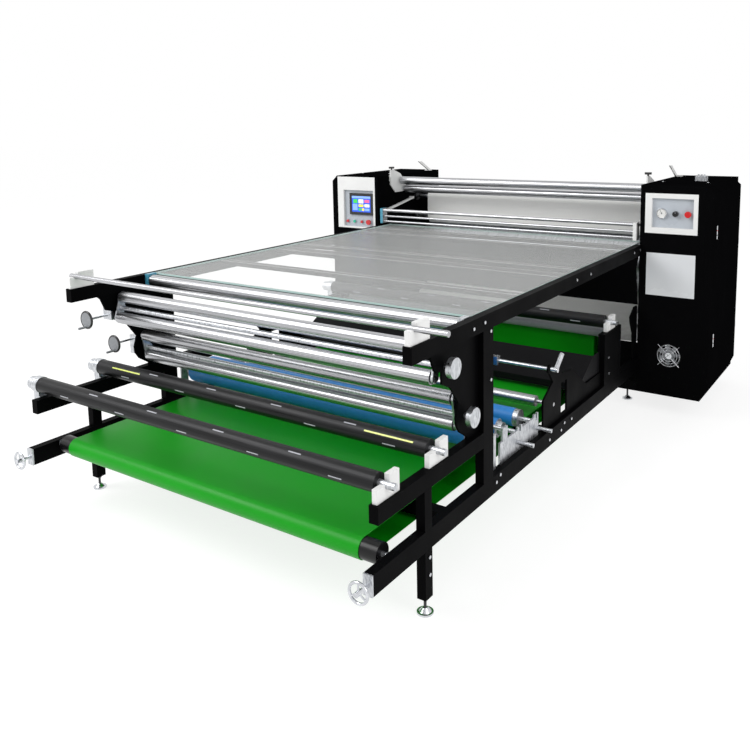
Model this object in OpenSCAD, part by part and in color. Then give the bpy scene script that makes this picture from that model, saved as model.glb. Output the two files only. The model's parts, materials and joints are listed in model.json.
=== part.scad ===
/* [Side frames] */
// Width over the outer faces of the side frames
frame_w = 2040; // [1900:10:2200]
// Width of a frame tube across the machine
tube_w = 40; // [36:1:60]
// Wall of the frame tubes
tube_t = 3; // [2:0.5:5]
// Length of the lower rails
rail_len = 2937; // [2900:1:3200]
// Underside of the lower rails
lower_rail_z = 263; // [240:1:275]
// Height of the lower rails
lower_rail_h = 80; // [74:1:90]
// Underside of the mid arms
arm_z = 505; // [495:1:510]
// Height of the mid arms and the table rails
beam_h = 67; // [60:1:70]
// Underside of the table rails
table_rail_z = 1008; // [1000:1:1040]
// Front end of the mid arms behind the rails' front end
arm_front_d = 36; // [20:1:45]
// Front end of the table rails behind the rails' front end
table_front_d = 260; // [240:1:280]
// Front face of the front legs behind the rails' front end
leg_d = 335; // [320:1:350]
// Depth of a front leg
leg_depth = 51; // [40:1:60]
// Underside of the front legs
leg_z = 65; // [50:1:80]
// Front face of the posts behind the rails' front end
post_d = 805; // [800:1:815]
// Depth of a post
post_depth = 90; // [80:1:95]
// Length of the arm pieces behind the posts
rear_arm_len = 269; // [240:1:300]
// Front face of the rear posts behind the rails' front end
rear_post_d = 2283; // [2275:1:2290]
// Depth of a rear post
rear_post_depth = 282; // [270:1:284]
// Top of the rear posts
rear_post_top_z = 645; // [640:1:650]

/* [Air shafts] */
// Radius of an air shaft
shaft_r = 38; // [36:0.5:38.5]
// Place of the front air shaft behind the rails' front end
shaft_front_d = 108; // [105:1:115]
// Distance from the front air shaft to the second one
shaft_pitch = 342; // [330:1:350]
// Height of the two front air shafts' axes
shaft_z = 622; // [620:1:630]
// Place of the rear air shaft behind the rails' front end
shaft_rear_d = 2410; // [2405:1:2415]
// Height of the rear air shaft's axis
shaft_rear_z = 690; // [688:1:695]
// Radius of an air shaft's journal
shaft_journal_r = 14; // [12:0.5:15]
// Length of a shaft block along the machine
block_len = 140; // [130:1:146]
// Radius of the brake discs
brake_r = 32; // [28:1:36]

/* [Table] */
// Front edge of the glass behind the rails' front end
glass_front_d = 773; // [770:1:780]
// Rear edge of the glass behind the rails' rear end
glass_back = 133; // [86:1:146]
// Thickness of the glass
glass_t = 10; // [6:1:11]
// Height of the glass face above the table rails
glass_proud = 2; // [0:0.5:3]
// Radius of the tension bar
bar_r = 12; // [10:0.5:14]
// Place of the tension bar behind the rails' front end
bar_d = 300; // [298:1:305]
// Height of the tension bar's axis
bar_z = 1134; // [1130:1:1138]
// Radius of the table front roller
table_roller_r = 31; // [28:0.5:32]
// Place of the table front roller behind the rails' front end
table_roller_d = 738; // [735:1:740]

/* [Swing rollers] */
// Place of the front swing pivot behind the rails' front end
swing_front_d = 533; // [530:1:540]
// Height of the front swing pivot
swing_front_z = 930; // [928:1:934]
// Place of the rear swing pivot behind the rails' front end
swing_rear_d = 688; // [684:1:690]
// Height of the rear swing pivot
swing_rear_z = 682; // [680:1:686]
// Radius of the swing rollers
swing_roller_r = 30; // [26:0.5:30]
// Length of the swing rollers
swing_roller_len = 1900; // [1740:10:1904]
// Radius of the swing handwheels
swing_wheel_r = 48; // [44:1:52]

/* [Blue rollers] */
// Radius of the blue rollers
blue_r = 45; // [40:0.5:46]
// Length of the blue rollers without their caps
blue_len = 1760; // [1600:10:1780]

/* [Collecting belt] */
// Width of the belt
belt_w = 1740; // [1500:10:1760]
// Thickness of the belt
belt_t = 3; // [2:0.5:4]
// Radius of the belt's front and rear rollers
belt_roller_r = 42; // [38:0.5:43]
// Place of the belt's front roller behind the rails' front end
belt_front_d = 159; // [150:1:165]
// Height of the belt's front and rear roller axes
belt_axis_z = 323; // [322:1:324]
// Radius of the belt's top roller
belt_top_r = 30; // [28:0.5:32]
// Radius of the tension handwheels
belt_wheel_r = 44; // [40:1:48]

/* [Drum and blanket] */
// Radius of the heated drum
drum_r = 210; // [190:1:212]
// Wall of the heated drum
drum_wall = 12; // [8:1:20]
// Place of the drum behind the rails' rear end
drum_back = 623; // [613:1:633]
// Height of the drum's axis
drum_z = 850; // [845:1:855]
// Width of the blanket
blanket_w = 1740; // [1500:10:1760]
// Thickness of the blanket
blanket_t = 8; // [6:0.5:10]
// Radius of the blanket's small rollers
blanket_roller_r = 40; // [36:0.5:42]
// Radius of the exit roller
exit_r = 100; // [92:1:102]
// Radius of the top guide rollers
guide_r = 30; // [26:0.5:31]

/* [Cabinets] */
// Inner face of a cabinet from the machine's middle
cabinet_x = 1005; // [1002:0.5:1008]
// Width of a cabinet without its door
cabinet_w = 391; // [385:1:420]
// Depth of a cabinet
cabinet_depth = 912; // [900:1:950]
// Underside of a cabinet
cabinet_z = 120; // [115:1:130]
// Height of a cabinet
cabinet_h = 1332; // [1325:1:1360]
// Thickness of the cabinet sheets
sheet_t = 3; // [2:0.5:4]
// Thickness of a side door over its chamfers
door_t = 44; // [40:1:50]
// Length of a side door along the machine
door_len = 777; // [760:1:785]
// Depth of the electrical box behind the left cabinet
rear_box_depth = 131; // [120:1:140]
// Radius of the fan opening
fan_r = 75; // [70:1:78]

/* [Hidden] */

// Facets of round pieces, of small ones and of a hull's own children
round_fn = 64;
small_fn = 32;
wire_fn = 16;
hex_fn = 6;
// Overrun of every cut, the gap between neighbouring pieces and the running fit of a shaft
over = 1;
seam = 0.2;
fit = 0.05;
// Gap between a roller and the band that runs over it
band_gap = 0.4;
// Turn between two points of a band's outline
loop_step = 4;

// Faces of the side frames and heights of the beams
frame_x = frame_w / 2;
inner_x = frame_x - tube_w;
lower_rail_top = lower_rail_z + lower_rail_h;
arm_top = arm_z + beam_h;
table_top = table_rail_z + beam_h;
cabinet_top = cabinet_z + cabinet_h;
cabinet_out = cabinet_x + cabinet_w;
door_x = cabinet_out + door_t;
glass_top_z = table_top + glass_proud;
glass_low = glass_top_z - glass_t;
glass_len = rail_len + glass_back - glass_front_d;

// Handwheel of the belt screws
wheel_hub_len = 30;
wheel_hub_r = 10;
wheel_gap = 45;
wheel_reach = wheel_gap + wheel_hub_len;
wheel_rim_r = 6;
wheel_spoke_r = 4;
wheel_spokes = 3;
screw_r = 8;
screw_x = (inner_x + frame_x) / 2;
screw_z = lower_rail_z + lower_rail_h / 2;
end_plate_t = 8;
take_up_len = 70;
take_up_travel = 12;
screw_grip = 20;
screw_end_d = belt_front_d - take_up_len / 2 + screw_grip;

// Front end of the lower rails: the object's middle is the origin
rail_front_y = -(rail_len + cabinet_depth + rear_box_depth - wheel_reach) / 2;
function at(d) = rail_front_y + d;

// Rollers: wall, end plugs and journals
roller_wall = 4;
plug_t = 20;
journal_r = 10;
journal_gap = 4;

// Levelling feet
foot_r = 33;
foot_t = 8;
foot_cone_r = 10;
foot_cone_h = 16;
foot_stem_r = 6;
foot_nut_r = 12;
foot_nut_h = 10;
base_h = 60;
base_w = 80;
base_foot_x = 900;
base_foot_backs = [160, 394, 843];
base_foot_ds = [for (d = base_foot_backs) rail_len + d];

// Beams between the side frames
bed_beam_h = 40;
bed_beam_w = 60;
bed_beam_z = 300;
bed_beam_ds = [500, 1500, 2300];
front_beam_h = 28;
front_beam_w = 40;
corner_bar_r = 20;

// Side plates of the swing rollers, and the panels beside the tray
plate_t = 10;
plate_reach = 396;
plate_inset = 15;
plate_x = inner_x + plate_inset;
plate_shares = [[0, 0], [0.25, 0], [0.25, 0.03], [0.4, 0.12], [0.46, 0.2], [0.47, 0.28],
    [0.42, 0.41], [0.57, 0.59], [0.74, 0.67], [0.745, 0.78], [0.88, 0.82], [0.95, 0.966], [1, 1], [0, 1]];
hub_r = 42;
hub_t = 25;
hub_x = frame_x;
panel_inset = 10;
panel_x = inner_x + panel_inset;
panel_front_d = 1470;
panel_h = 302;
panel_shares = [[0, 0], [1, 0], [1, 0.27], [0.71, 0.27], [0.455, 0.72], [0.2, 0.82], [0, 0.52]];
ear_r = 24;
ear_root_shares = [[0.15, 0.72], [0.34, 0.72]];
gap_plate_reach = 131;
gap_plate_top = 682;
gap_plate_shares = [[0, 0], [0.565, 0], [0.565, 0.362], [0.595, 0.519], [0.947, 0.758], [1, 0.858],
    [0.42, 1], [0, 1]];
window_d = 1692;
window_len = 78;
window_z = 364;
window_h = 166;

// Swing frames: roller places from the pivot, arm, shaft and worm drive
swing_front_top = [7, 58];
swing_front_low = [-19, -46];
swing_rear_top = [-18, 70];
swing_rear_low = [1, -45];
swing_arm_r = 24;
swing_arm_w = 44;
swing_arm_t = 10;
swing_bar_r = 12;
pivot_r = 12;
worm_wheel_r = 30;
worm_wheel_t = 16;
worm_r = 12;
worm_len = 40;
worm_offset = worm_wheel_r + worm_r + seam;
worm_shaft_r = 6;
worm_stand_off = 20;
worm_x = frame_x + worm_stand_off;
housing_wall = 6;
housing_gap = 3;
swing_wheel_reach = 154;
swing_wheel_t = 10;
grip_r = 6;
grip_len = 50;

// Air shafts, chucks and open slotted blocks
shaft_left = 1034;
shaft_right = 975;
shaft_tip = 1045;
shaft_second_d = shaft_front_d + shaft_pitch;
chuck_r = 40;
chuck_len = 40;
chuck_gap = 1;
chuck_foot_w = 50;
brake_t = 40;
shaft_end_t = 12;
shaft_slot_w = 6;
shaft_slot_len = 62;
shaft_slot_depth = 2;
shaft_rows = 5;
shaft_row_turn = 31;
shaft_slot_pitch = 403;
block_t = 22;
block_inset = 8;
block_x = inner_x + block_inset;
block_front_share = 0.45;
block_low_rise = 4;
block_high_rise = 34;

// Table clamps, cross bars and bar forks
clamp_t = 28;
clamp_len = 56;
table_roller_z = 1042;
table_clamp_low = 22;
table_clamp_high = 36;
table_roller_half = inner_x - clamp_t - journal_gap;
bar_overhang_l = 1027;
bar_overhang_r = 1150;
fork_len = 136;
fork_t = 25;
fork_inset = 6;
fork_x = inner_x + fork_inset;
fork_front_share = 0.265;
fork_low_rise = -2;
fork_high_rise = 21;
cross_bar_h = 25;
cross_bar_fronts = [1265, 1751, 1985];
cross_bar_backs = [277, 67];
cross_bar_ds = concat(cross_bar_fronts, [for (d = cross_bar_backs) rail_len - d]);
cross_bar_ws = [50, 103, 50, 50, 50];

// Blue rollers, their brackets and retaining pins
blue_ds = [950, 1067, 1222, 1408];
blue_zs = [494, 493, 424, 416];
blue_rs = [62, 50, blue_r, blue_r];
cap_len = 25;
cap_rs = [50, 42, 32, 43];
bracket_t = 10;
bracket_inset = 1;
bracket_x = inner_x + bracket_inset;
bracket_d = 1017;
bracket_len = 412;
bracket_h = 100;
bracket_lug_w = 50;
bracket_lug_h = 14;
pin_ds = [1212, 1420];
pin_z = 380;
pin_r = 10;
pin_in = 915;
pin_out = 1065;
front_block_w = 50;

// Belt: rear face, top roller and lay-on roller
belt_face_d = 2527;
belt_top_z = 600;
lay_on_r = 32;
lay_on_d = belt_face_d - lay_on_r - band_gap;
lay_on_z = 605;
belt_edge = 77;
take_up_reach = inner_x + tube_t + take_up_len / 3;
belt_plate_d = 2440;
belt_plate_len = 200;
belt_plate_top = 640;
belt_plate_t = 10;

// Release lever, lower guide roller and tray
lever_d = 1551;
lever_z = 642;
lever_r = 9;
lever_out = 1040;
lever_hub_len = 40;
lever_arm_r = 12;
lever_arm = [77, 62];
lever_clamp_x = 680;
lever_clamp_w = 36;
lever_clamp_h = 44;
low_guide_d = 1600;
low_guide_z = 445;
low_guide_r = 28;
low_guide_len = 1810;
tray_t = 3;
tray_len = 303;
tray_front_d = rear_post_d - tray_len;
tray_front_z = 432;
tray_back = 103;
tray_rear_d = rear_post_d - tray_back;
tray_rear_z = 545;
tray_lip = 40;
tray_x = panel_x - seam;

// Drum journals, blanket rollers and their bearings
drum_d = rail_len + drum_back;
drum_journal_r = 45;
drum_len = 1780;
stub_r = 15;
drum_bearing_grip = 45;
heater_r = 60;
nip_angle = 105;
blanket_top_z = 1262;
blanket_back = 242;
blanket_rear_d = drum_d + blanket_back;
blanket_low_z = 530;
exit_lead = 183;
exit_d = drum_d - exit_lead;
exit_z = 430;
wall_bore_gap = 4;
bearing_t = 15;
bearing_grip = 22;
stub_out = 1040;
gear_w = 260;
gear_h = 280;
gear_t = 120;
gear_x = 1060;
gear_foot_h = 40;
motor_r = 75;
motor_len = 300;

// Guards, top guides, arms and rods
guard_t = 3;
guard_low_z = 690;
guard_bend_z = 930;
guard_bend = 44;
guard_gap = 6;
base_cover_top = 441;
guide_backs = [298, 348];
guide_ds = [for (d = guide_backs) rail_len + d];
guide_zs = [1405, 1338];
guide_half = 975;
guide_plate_t = 8;
guide_plate_x = 990;
guide_plate_back = 160;
guide_plate_d = rail_len + guide_plate_back;
guide_plate_len = 215;
guide_plate_h = 178;
guide_plate_z = 1316;
guide_plate_shares = [[0, 0.35], [0.3, 0], [1, 0], [1, 0.35], [0.65, 0.8], [0.2, 1], [0, 1]];
star_inset = 20;
star_d = guide_plate_d + star_inset;
star_z = 1504;
star_stem_r = 6;
star_r = 22;
star_t = 14;
rod_backs = [14, 18, 20];
rod_ds = [for (d = rod_backs) rail_len + d];
rod_zs = [1197, 1152, 1112];
rod_rs = [12, 8, 8];
rod_half = 960;
rod_clamp_lead = 2;
rod_clamp_d = rail_len - rod_clamp_lead;
rod_clamp_len = 60;
rod_clamp_edge = 14;
arm_bar_x = 966;
arm_bar_w = 16;
arm_rear_back = 458;
arm_rear_d = rail_len + arm_rear_back;
arm_rear_z = 1265;
roll_arm_back = 763;
roll_arm_d = rail_len + roll_arm_back;
roll_arm_lean = 140;
roll_arm_tip_d = roll_arm_d - roll_arm_lean;
roll_arm_tip_z = 1538;
roll_arm_w = 44;
roll_arm_t = 10;
roll_slot_w = 14;
manifold = [74, 29, 30];
manifold_x = 1229;
manifold_back = 408;
manifold_d = rail_len + manifold_back;
port_r = 6;
port_h = 14;
ports = 3;

// Control panels: white trays, inner plates, instruments and switches
tray_sheet = 3;
panel_recess = 18;
panel_proud = 4;
inner_plate_t = 3;
left_panel = [1030, 1386, 1045, 1445];
left_recess = [1046, 1330, 1058, 1342];
right_panel = [1036, 1352, 1154, 1402];
right_recess = [1076, 1326, 1190, 1372];
light_plate_t = 2;
plate_rect = [1050, 1345, 762, 1030];
screen = [1056, 1278, 1150, 1318];
screen_t = 14;
switch_z = 1278;
switch_stem_r = 5;
switch_stem_len = 20;
collar_t = 6;
collar_w = 4;
gauge_x = 1134;
gauge_r = 32;
gauge_t = 16;
gauge_rim = 3;
knob_x = 1218;
knob_r = 17;
knob_len = 26;
e_stop_r = 20;
e_stop_rest = 12;
e_stop_neck_r = 10;
neck_rest = 5.5;
e_stop_head = 14;
e_stop_right_x = 1293;
e_stop_left_x = 1096;
button_xs = [1302, 1236, 1166];
button_z = 1096;
button_r = 11;
button_len = 12;
button_rest = 4.3;
switch_gap = 0.3;

// Fan
fan_x = 1203;
fan_z = 383;
fan_frame_t = 38;
fan_frame_wall = 4;
fan_mount_t = 5;
fan_gap = 2;
fan_hub_r = 26;
fan_blades = 7;
fan_blade_r = 68;
fan_blade_t = 2;
fan_blade_w = 30;
fan_blade_tilt = 35;
wire_r = 1.6;
strut_wire_r = 2;
wire_rings = [68, 52, 36];
guard_hub_r = 20;
fan_strut_reach = 92;

// Doors, hinges and latches
chamfer_top = 43;
chamfer_low = 101;
hinge_r = 6;
hinge_pin_r = 3;
hinge_len = 36;
hinge_gap = 9;
hinge_leaf_t = 4;
hinge_x = door_x - hinge_r;
hinge_d = rail_len + door_len + hinge_gap;
hinge_zs = [424, 1005];
latch_zs = [448, 1125];
latch_h = 82;
latch_w = 18;
latch_t = 2;
latch_d = 100;

// Electrical box behind the left cabinet
rear_box_inset = 60;
rear_box_z = 300;
rear_box_top_z = 1300;

// Screws on the cabinet tops: [across, behind the cabinets' front]
top_screw_backs = [[1067, 256], [1340, 276]];
top_screws = [for (s = top_screw_backs) [s[0], rail_len + s[1]]];

// Bolt heads on the side frames: [behind the rails' front end, or from the rear post, or before the
// rails' rear end, height]
bolt_r = 8;
bolt_h = 5;
front_bolts = [[719, 1039], [814, 1045], [867, 997], [867, 787], [1834, 1043], [2032, 1041],
    [957, 330], [919, 310], [1643, 300], [1496, 300], [1783, 315], [1686, 325], [363, 233], [363, 162]];
post_bolts = [[67, 496], [73, 400]];
rail_end_bolts = [[159, 1046], [37, 1046]];
frame_bolts = concat(front_bolts, [for (b = post_bolts) [rear_post_d + b[0], b[1]]],
    [for (b = rail_end_bolts) [rail_len - b[0], b[1]]]);

// Solids in the machine's frame: across from x0 to x1, along from d0 to d1, up from z0 to z1
module block(x0, x1, d0, d1, z0, z1) {
    translate([x0, at(d0), z0]) cube([x1 - x0, d1 - d0, z1 - z0]);
}

module rod_x(x0, x1, d, z, r, facets = round_fn) {
    translate([x0, at(d), z]) rotate([0, 90, 0]) cylinder(h = x1 - x0, r = r, $fn = facets);
}

module rod_y(d0, d1, x, z, r, facets = round_fn) {
    translate([x, at(d0), z]) rotate([-90, 0, 0]) cylinder(h = d1 - d0, r = r, $fn = facets);
}

module rod_z(x, d, z0, z1, r, facets = small_fn) {
    translate([x, at(d), z0]) cylinder(h = z1 - z0, r = r, $fn = facets);
}

module ring_x(x0, x1, d, z, r, bore) {
    difference() {
        rod_x(x0, x1, d, z, r);
        rod_x(x0 - over, x1 + over, d, z, bore);
    }
}

module ring_y(d0, d1, x, z, r, bore) {
    difference() {
        rod_y(d0, d1, x, z, r);
        rod_y(d0 - over, d1 + over, x, z, bore);
    }
}

module both() {
    children();
    mirror([1, 0, 0]) children();
}

// An outline of [along, up] points, drawn across the machine from x0 to x1
module sheet_x(x0, x1, points) {
    translate([x0, 0, 0]) rotate([90, 0, 90]) linear_extrude(x1 - x0) polygon(points);
}

// Frame tubes, each with an open core along its length
module tube_y(d0, d1, z0, z1, rear_cap = false) {
    difference() {
        block(inner_x, frame_x, d0, d1, z0, z1);
        block(inner_x + tube_t, frame_x - tube_t, rear_cap ? d0 - over : d0 + tube_t,
            rear_cap ? d1 - tube_t : d1 + over, z0 + tube_t, z1 - tube_t);
    }
}

module tube_z(d0, d1, z0, z1, top_cap = false) {
    difference() {
        block(inner_x, frame_x, d0, d1, z0, z1);
        block(inner_x + tube_t, frame_x - tube_t, d0 + tube_t, d1 - tube_t,
            top_cap ? z0 - over : z0 + tube_t, top_cap ? z1 - tube_t : z1 + over);
    }
}

module tube_x(x, d0, d1, z0, z1) {
    difference() {
        block(-x, x, d0, d1, z0, z1);
        block(-x - over, x + over, d0 + tube_t, d1 - tube_t, z0 + tube_t, z1 - tube_t);
    }
}

// A roller: a tube, and two end plugs with journals that reach out to left and right
module roller(half, d, z, r, left, right, journal = journal_r, wall = roller_wall) {
    ring_x(-half, half, d, z, r, r - wall);
    for (side = [-1, 1]) {
        reach = side < 0 ? left : right;
        inner = half - plug_t;
        rod_x(min(side * inner, side * half), max(side * inner, side * half), d, z, r - wall - fit);
        rod_x(min(side * half, side * reach), max(side * half, side * reach), d, z, journal, small_fn);
    }
}

// A closed band round circles of [along, up, radius, side]: side is 1 inside the band, -1 outside
function heading(a, b) =
    let (dy = b[0] - a[0], dz = b[1] - a[1])
    atan2(dz, dy) - asin(max(-1, min(1, (b[3] * b[2] - a[3] * a[2]) / norm([dy, dz]))));
function full_turn(a) = a - 360 * floor(a / 360);
function band_points(c, grow) = [
    for (i = [0:len(c) - 1])
        let (n = len(c), before = c[(i + n - 1) % n], here = c[i], after = c[(i + 1) % n])
        let (p = grown(before, grow), q = grown(here, grow), s = grown(after, grow))
        let (h0 = heading(p, q), sweep = q[3] * full_turn(q[3] * (heading(q, s) - h0)))
        let (steps = max(2, ceil(abs(sweep) / loop_step)))
        for (j = [0:steps])
            let (h = h0 + sweep * j / steps)
            [q[0] + q[3] * q[2] * sin(h), q[1] - q[3] * q[2] * cos(h)]];
function grown(c, grow) = [c[0], c[1], c[2] + c[3] * grow, c[3]];

module band(width, thick, circles) {
    translate([-width / 2, 0, 0]) rotate([90, 0, 90]) linear_extrude(width) difference() {
        polygon(band_points(circles, thick));
        polygon(band_points(circles, 0));
    }
}

// Belt and blanket circles: radii are those of the band's inner face
belt_top_d = belt_face_d + belt_t + band_gap + belt_top_r;
belt_rear_d = belt_top_d + belt_top_r - belt_roller_r;
belt_face_z = belt_axis_z + belt_roller_r + belt_t + band_gap;
corner_d = belt_face_d - corner_bar_r - band_gap;
corner_z = belt_face_z + corner_bar_r + band_gap;
belt_circles = [
    [at(belt_front_d), belt_axis_z, belt_roller_r + band_gap, 1],
    [at(belt_rear_d), belt_axis_z, belt_roller_r + band_gap, 1],
    [at(belt_top_d), belt_top_z, belt_top_r + band_gap, 1],
    [at(corner_d), corner_z, corner_bar_r + band_gap + belt_t, -1]];
nip_reach = drum_r + blanket_roller_r + blanket_t + 2 * band_gap;
nip_d = drum_d + nip_reach * cos(nip_angle);
nip_z = drum_z + nip_reach * sin(nip_angle);
blanket_circles = [
    [at(exit_d), exit_z, exit_r + band_gap, 1],
    [at(blanket_rear_d), blanket_low_z, blanket_roller_r + band_gap, 1],
    [at(blanket_rear_d), blanket_top_z, blanket_roller_r + band_gap, 1],
    [at(nip_d), blanket_top_z, blanket_roller_r + band_gap, 1],
    [at(nip_d), nip_z, blanket_roller_r + band_gap, 1],
    [at(drum_d), drum_z, drum_r + band_gap + blanket_t, -1]];
blanket_axes = [[nip_d, nip_z], [nip_d, blanket_top_z], [blanket_rear_d, blanket_top_z],
    [blanket_rear_d, blanket_low_z], [exit_d, exit_z]];

// Front guard, under the table rails and between the cabinets
guard_x = cabinet_x - seam;
guard_top_z = table_rail_z - seam;

module main_frame() {
    color("#151515") {
        both() {
            lower_rail();
            tube_y(arm_front_d, post_d - seam, arm_z, arm_top);
            tube_y(table_front_d, rail_len - seam, table_rail_z, table_top);
            tube_z(leg_d, leg_d + leg_depth, leg_z, lower_rail_z - seam);
            tube_z(leg_d, leg_d + leg_depth, lower_rail_top + seam, arm_z - seam);
            tube_z(post_d, post_d + post_depth, lower_rail_top + seam, table_rail_z - seam);
            tube_z(rear_post_d, rear_post_d + rear_post_depth, lower_rail_top + seam, rear_post_top_z,
                true);
        }
        mirror([1, 0, 0]) tube_y(post_d + post_depth + seam, post_d + post_depth + rear_arm_len, arm_z,
            arm_top, true);
        for (d = bed_beam_ds)
            tube_x(inner_x - seam, d, d + bed_beam_w, bed_beam_z, bed_beam_z + bed_beam_h);
        tube_x(inner_x - seam, glass_front_d, glass_front_d + front_beam_w,
            glass_low - seam - front_beam_h, glass_low - seam);
        rod_x(-inner_x + belt_plate_t + seam, inner_x - belt_plate_t - seam, corner_d, corner_z,
            corner_bar_r);
        base_frame();
    }
}

// A lower rail with a slot in its inner wall for the belt roller's journal
module lower_rail() {
    difference() {
        tube_y(0, rail_len - seam, lower_rail_z, lower_rail_top);
        block(inner_x - over, inner_x + tube_t + over, belt_front_d - journal_r - take_up_travel,
            belt_front_d + journal_r + take_up_travel, belt_axis_z - journal_r - over,
            lower_rail_top - tube_t);
        rod_y(-over, tube_t + over, screw_x, screw_z, screw_r + over);
    }
}

// Beams under the drum, between the cabinets, on the base feet
module base_frame() {
    for (d = [rail_len, rail_len + cabinet_depth - base_w])
        tube_x(cabinet_x - seam, d, d + base_w, cabinet_z, cabinet_z + base_h);
    both() difference() {
        block(base_foot_x - base_w / 2, base_foot_x + base_w / 2, rail_len + base_w + seam,
            rail_len + cabinet_depth - base_w - seam, cabinet_z, cabinet_z + base_h);
        block(base_foot_x - base_w / 2 + tube_t, base_foot_x + base_w / 2 - tube_t,
            rail_len + base_w - over, rail_len + cabinet_depth - base_w + over, cabinet_z + tube_t,
            cabinet_z + base_h - tube_t);
    }
}

module foot(x, d, top) {
    rod_z(x, d, 0, foot_t, foot_r, round_fn);
    translate([x, at(d), foot_t])
        cylinder(h = foot_cone_h, r1 = foot_r - foot_t, r2 = foot_cone_r, $fn = small_fn);
    rod_z(x, d, foot_t, top - seam, foot_stem_r);
    translate([x, at(d), top - seam - foot_nut_h]) cylinder(h = foot_nut_h, r = foot_nut_r, $fn = hex_fn);
}

module levelling_feet() {
    color("#3a3a3c") both() {
        foot((inner_x + frame_x) / 2, leg_d + leg_depth / 2, leg_z);
        for (d = base_foot_ds) foot(base_foot_x, d, cabinet_z);
    }
}

module side_plates() {
    color("#101010") both() {
        difference() {
            sheet_x(plate_x - plate_t, plate_x, [for (s = plate_shares)
                [at(post_d - seam - s[0] * plate_reach),
                    arm_top + seam + s[1] * (table_rail_z - arm_top - 2 * seam)]]);
            rod_x(plate_x - plate_t - over, plate_x + over, swing_front_d, swing_front_z,
                pivot_r + fit, round_fn);
            rod_x(plate_x - plate_t - over, plate_x + over, swing_rear_d, swing_rear_z,
                pivot_r + fit, round_fn);
        }
        difference() {
            union() {
                sheet_x(panel_x, panel_x + plate_t, [for (s = panel_shares)
                    [at(panel_front_d + s[0] * (rear_post_d - seam - panel_front_d)),
                        lower_rail_top + seam + s[1] * panel_h]]);
                sheet_x(panel_x, panel_x + plate_t, concat([[at(lever_d + ear_r), lever_z],
                    [at(lever_d - ear_r), lever_z]], [for (s = ear_root_shares)
                    [at(panel_front_d + s[0] * (rear_post_d - seam - panel_front_d)),
                        lower_rail_top + seam + s[1] * panel_h]]));
                rod_x(panel_x, panel_x + plate_t, lever_d, lever_z, ear_r);
            }
            block(panel_x - over, panel_x + plate_t + over, window_d, window_d + window_len, window_z,
                window_z + window_h);
            rod_x(panel_x - over, panel_x + plate_t + over, lever_d, lever_z, lever_r + fit);
            rod_x(panel_x - over, panel_x + plate_t + over, low_guide_d, low_guide_z,
                journal_r + fit);
        }
        sheet_x(panel_x, panel_x + plate_t, [for (s = gap_plate_shares)
            [at(rail_len - seam - s[0] * gap_plate_reach),
                lower_rail_top + seam + s[1] * (gap_plate_top - lower_rail_top - seam)]]);
        difference() {
            block(inner_x - belt_plate_t, inner_x - seam, belt_plate_d, belt_plate_d + belt_plate_len,
                lower_rail_z, belt_plate_top);
            for (c = [[belt_rear_d, belt_axis_z], [belt_top_d, belt_top_z], [lay_on_d, lay_on_z]])
                rod_x(inner_x - belt_plate_t - over, inner_x, c[0], c[1], journal_r + fit);
        }
    }
}

module glass_top() {
    color("#cfe9ea", 0.4)
        block(-inner_x + seam, inner_x - seam, glass_front_d, glass_front_d + glass_len, glass_low,
            glass_top_z);
}

module table_bars() {
    shaft_blocks();
    color("#f2f2f2") {
        for (i = [0:len(cross_bar_ds) - 1])
            tube_x(inner_x - seam, cross_bar_ds[i], cross_bar_ds[i] + cross_bar_ws[i],
                glass_low - seam - cross_bar_h, glass_low - seam);
        rod_x(-bar_overhang_l, bar_overhang_r, bar_d, bar_z, bar_r);
    }
}

// A block with an open slot for a shaft or bar, its front prong lower than its rear one
module slot_block(x0, x1, front, rear, d, z, seat, r, low_rise, high_rise) {
    difference() {
        block(x0, x1, d - front, d + rear, seat + seam, z + high_rise);
        rod_x(x0 - over, x1 + over, d, z, r + fit);
        block(x0 - over, x1 + over, d - r - fit, d + r + fit, z, z + high_rise + over);
        block(x0 - over, x1 + over, d - front - over, d, z + low_rise, z + high_rise + over);
    }
}

module shaft_blocks() {
    color("#eeeeee") {
        for (p = [[shaft_front_d, shaft_z, arm_top], [shaft_second_d, shaft_z, arm_top],
                [shaft_rear_d, shaft_rear_z, rear_post_top_z]])
            slot_block(block_x, block_x + block_t, block_len * block_front_share,
                block_len * (1 - block_front_share), p[0], p[1], p[2], shaft_journal_r,
                block_low_rise, block_high_rise);
        both() slot_block(fork_x, fork_x + fork_t, fork_len * fork_front_share,
            fork_len * (1 - fork_front_share), bar_d, bar_z, table_top, bar_r, fork_low_rise,
            fork_high_rise);
    }
}

// A chuck housing at a shaft's left end, on a foot that is bolted to the frame's outer face
module chuck(d, z, foot_low, foot_high) {
    left = -(shaft_left + chuck_gap + chuck_len);
    difference() {
        union() {
            rod_x(left, left + chuck_len, d, z, chuck_r);
            block(left, left + chuck_len, d - chuck_foot_w / 2, d + chuck_foot_w / 2, foot_low, z);
            block(left, -frame_x - seam, d - chuck_foot_w / 2, d + chuck_foot_w / 2, foot_low,
                foot_high);
        }
        rod_x(left - over, left + chuck_len + over, d, z, shaft_journal_r + fit);
    }
}

// A worm housing on the left side plate; up is 1 where the worm lies over the pivot, else -1
module worm_housing(d, z, up) {
    half = worm_wheel_r + housing_gap + housing_wall;
    reach = worm_offset + worm_r + housing_gap + housing_wall;
    low = up > 0 ? z - half : z - reach;
    high = up > 0 ? z + reach : z + half;
    out = worm_x + worm_r + housing_gap + housing_wall;
    cavity_x = worm_x - worm_r - housing_gap;
    difference() {
        block(-out, -plate_x - seam, d - half, d + half, low, high);
        block(-out + housing_wall, -cavity_x, d - half + housing_wall, d + half - housing_wall,
            low + housing_wall, high - housing_wall);
        rod_x(-cavity_x - over, -plate_x + over, d, z, pivot_r + fit);
        rod_y(d - half - over, d + half + over, -worm_x, z + up * worm_offset, worm_shaft_r + fit);
    }
}

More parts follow.
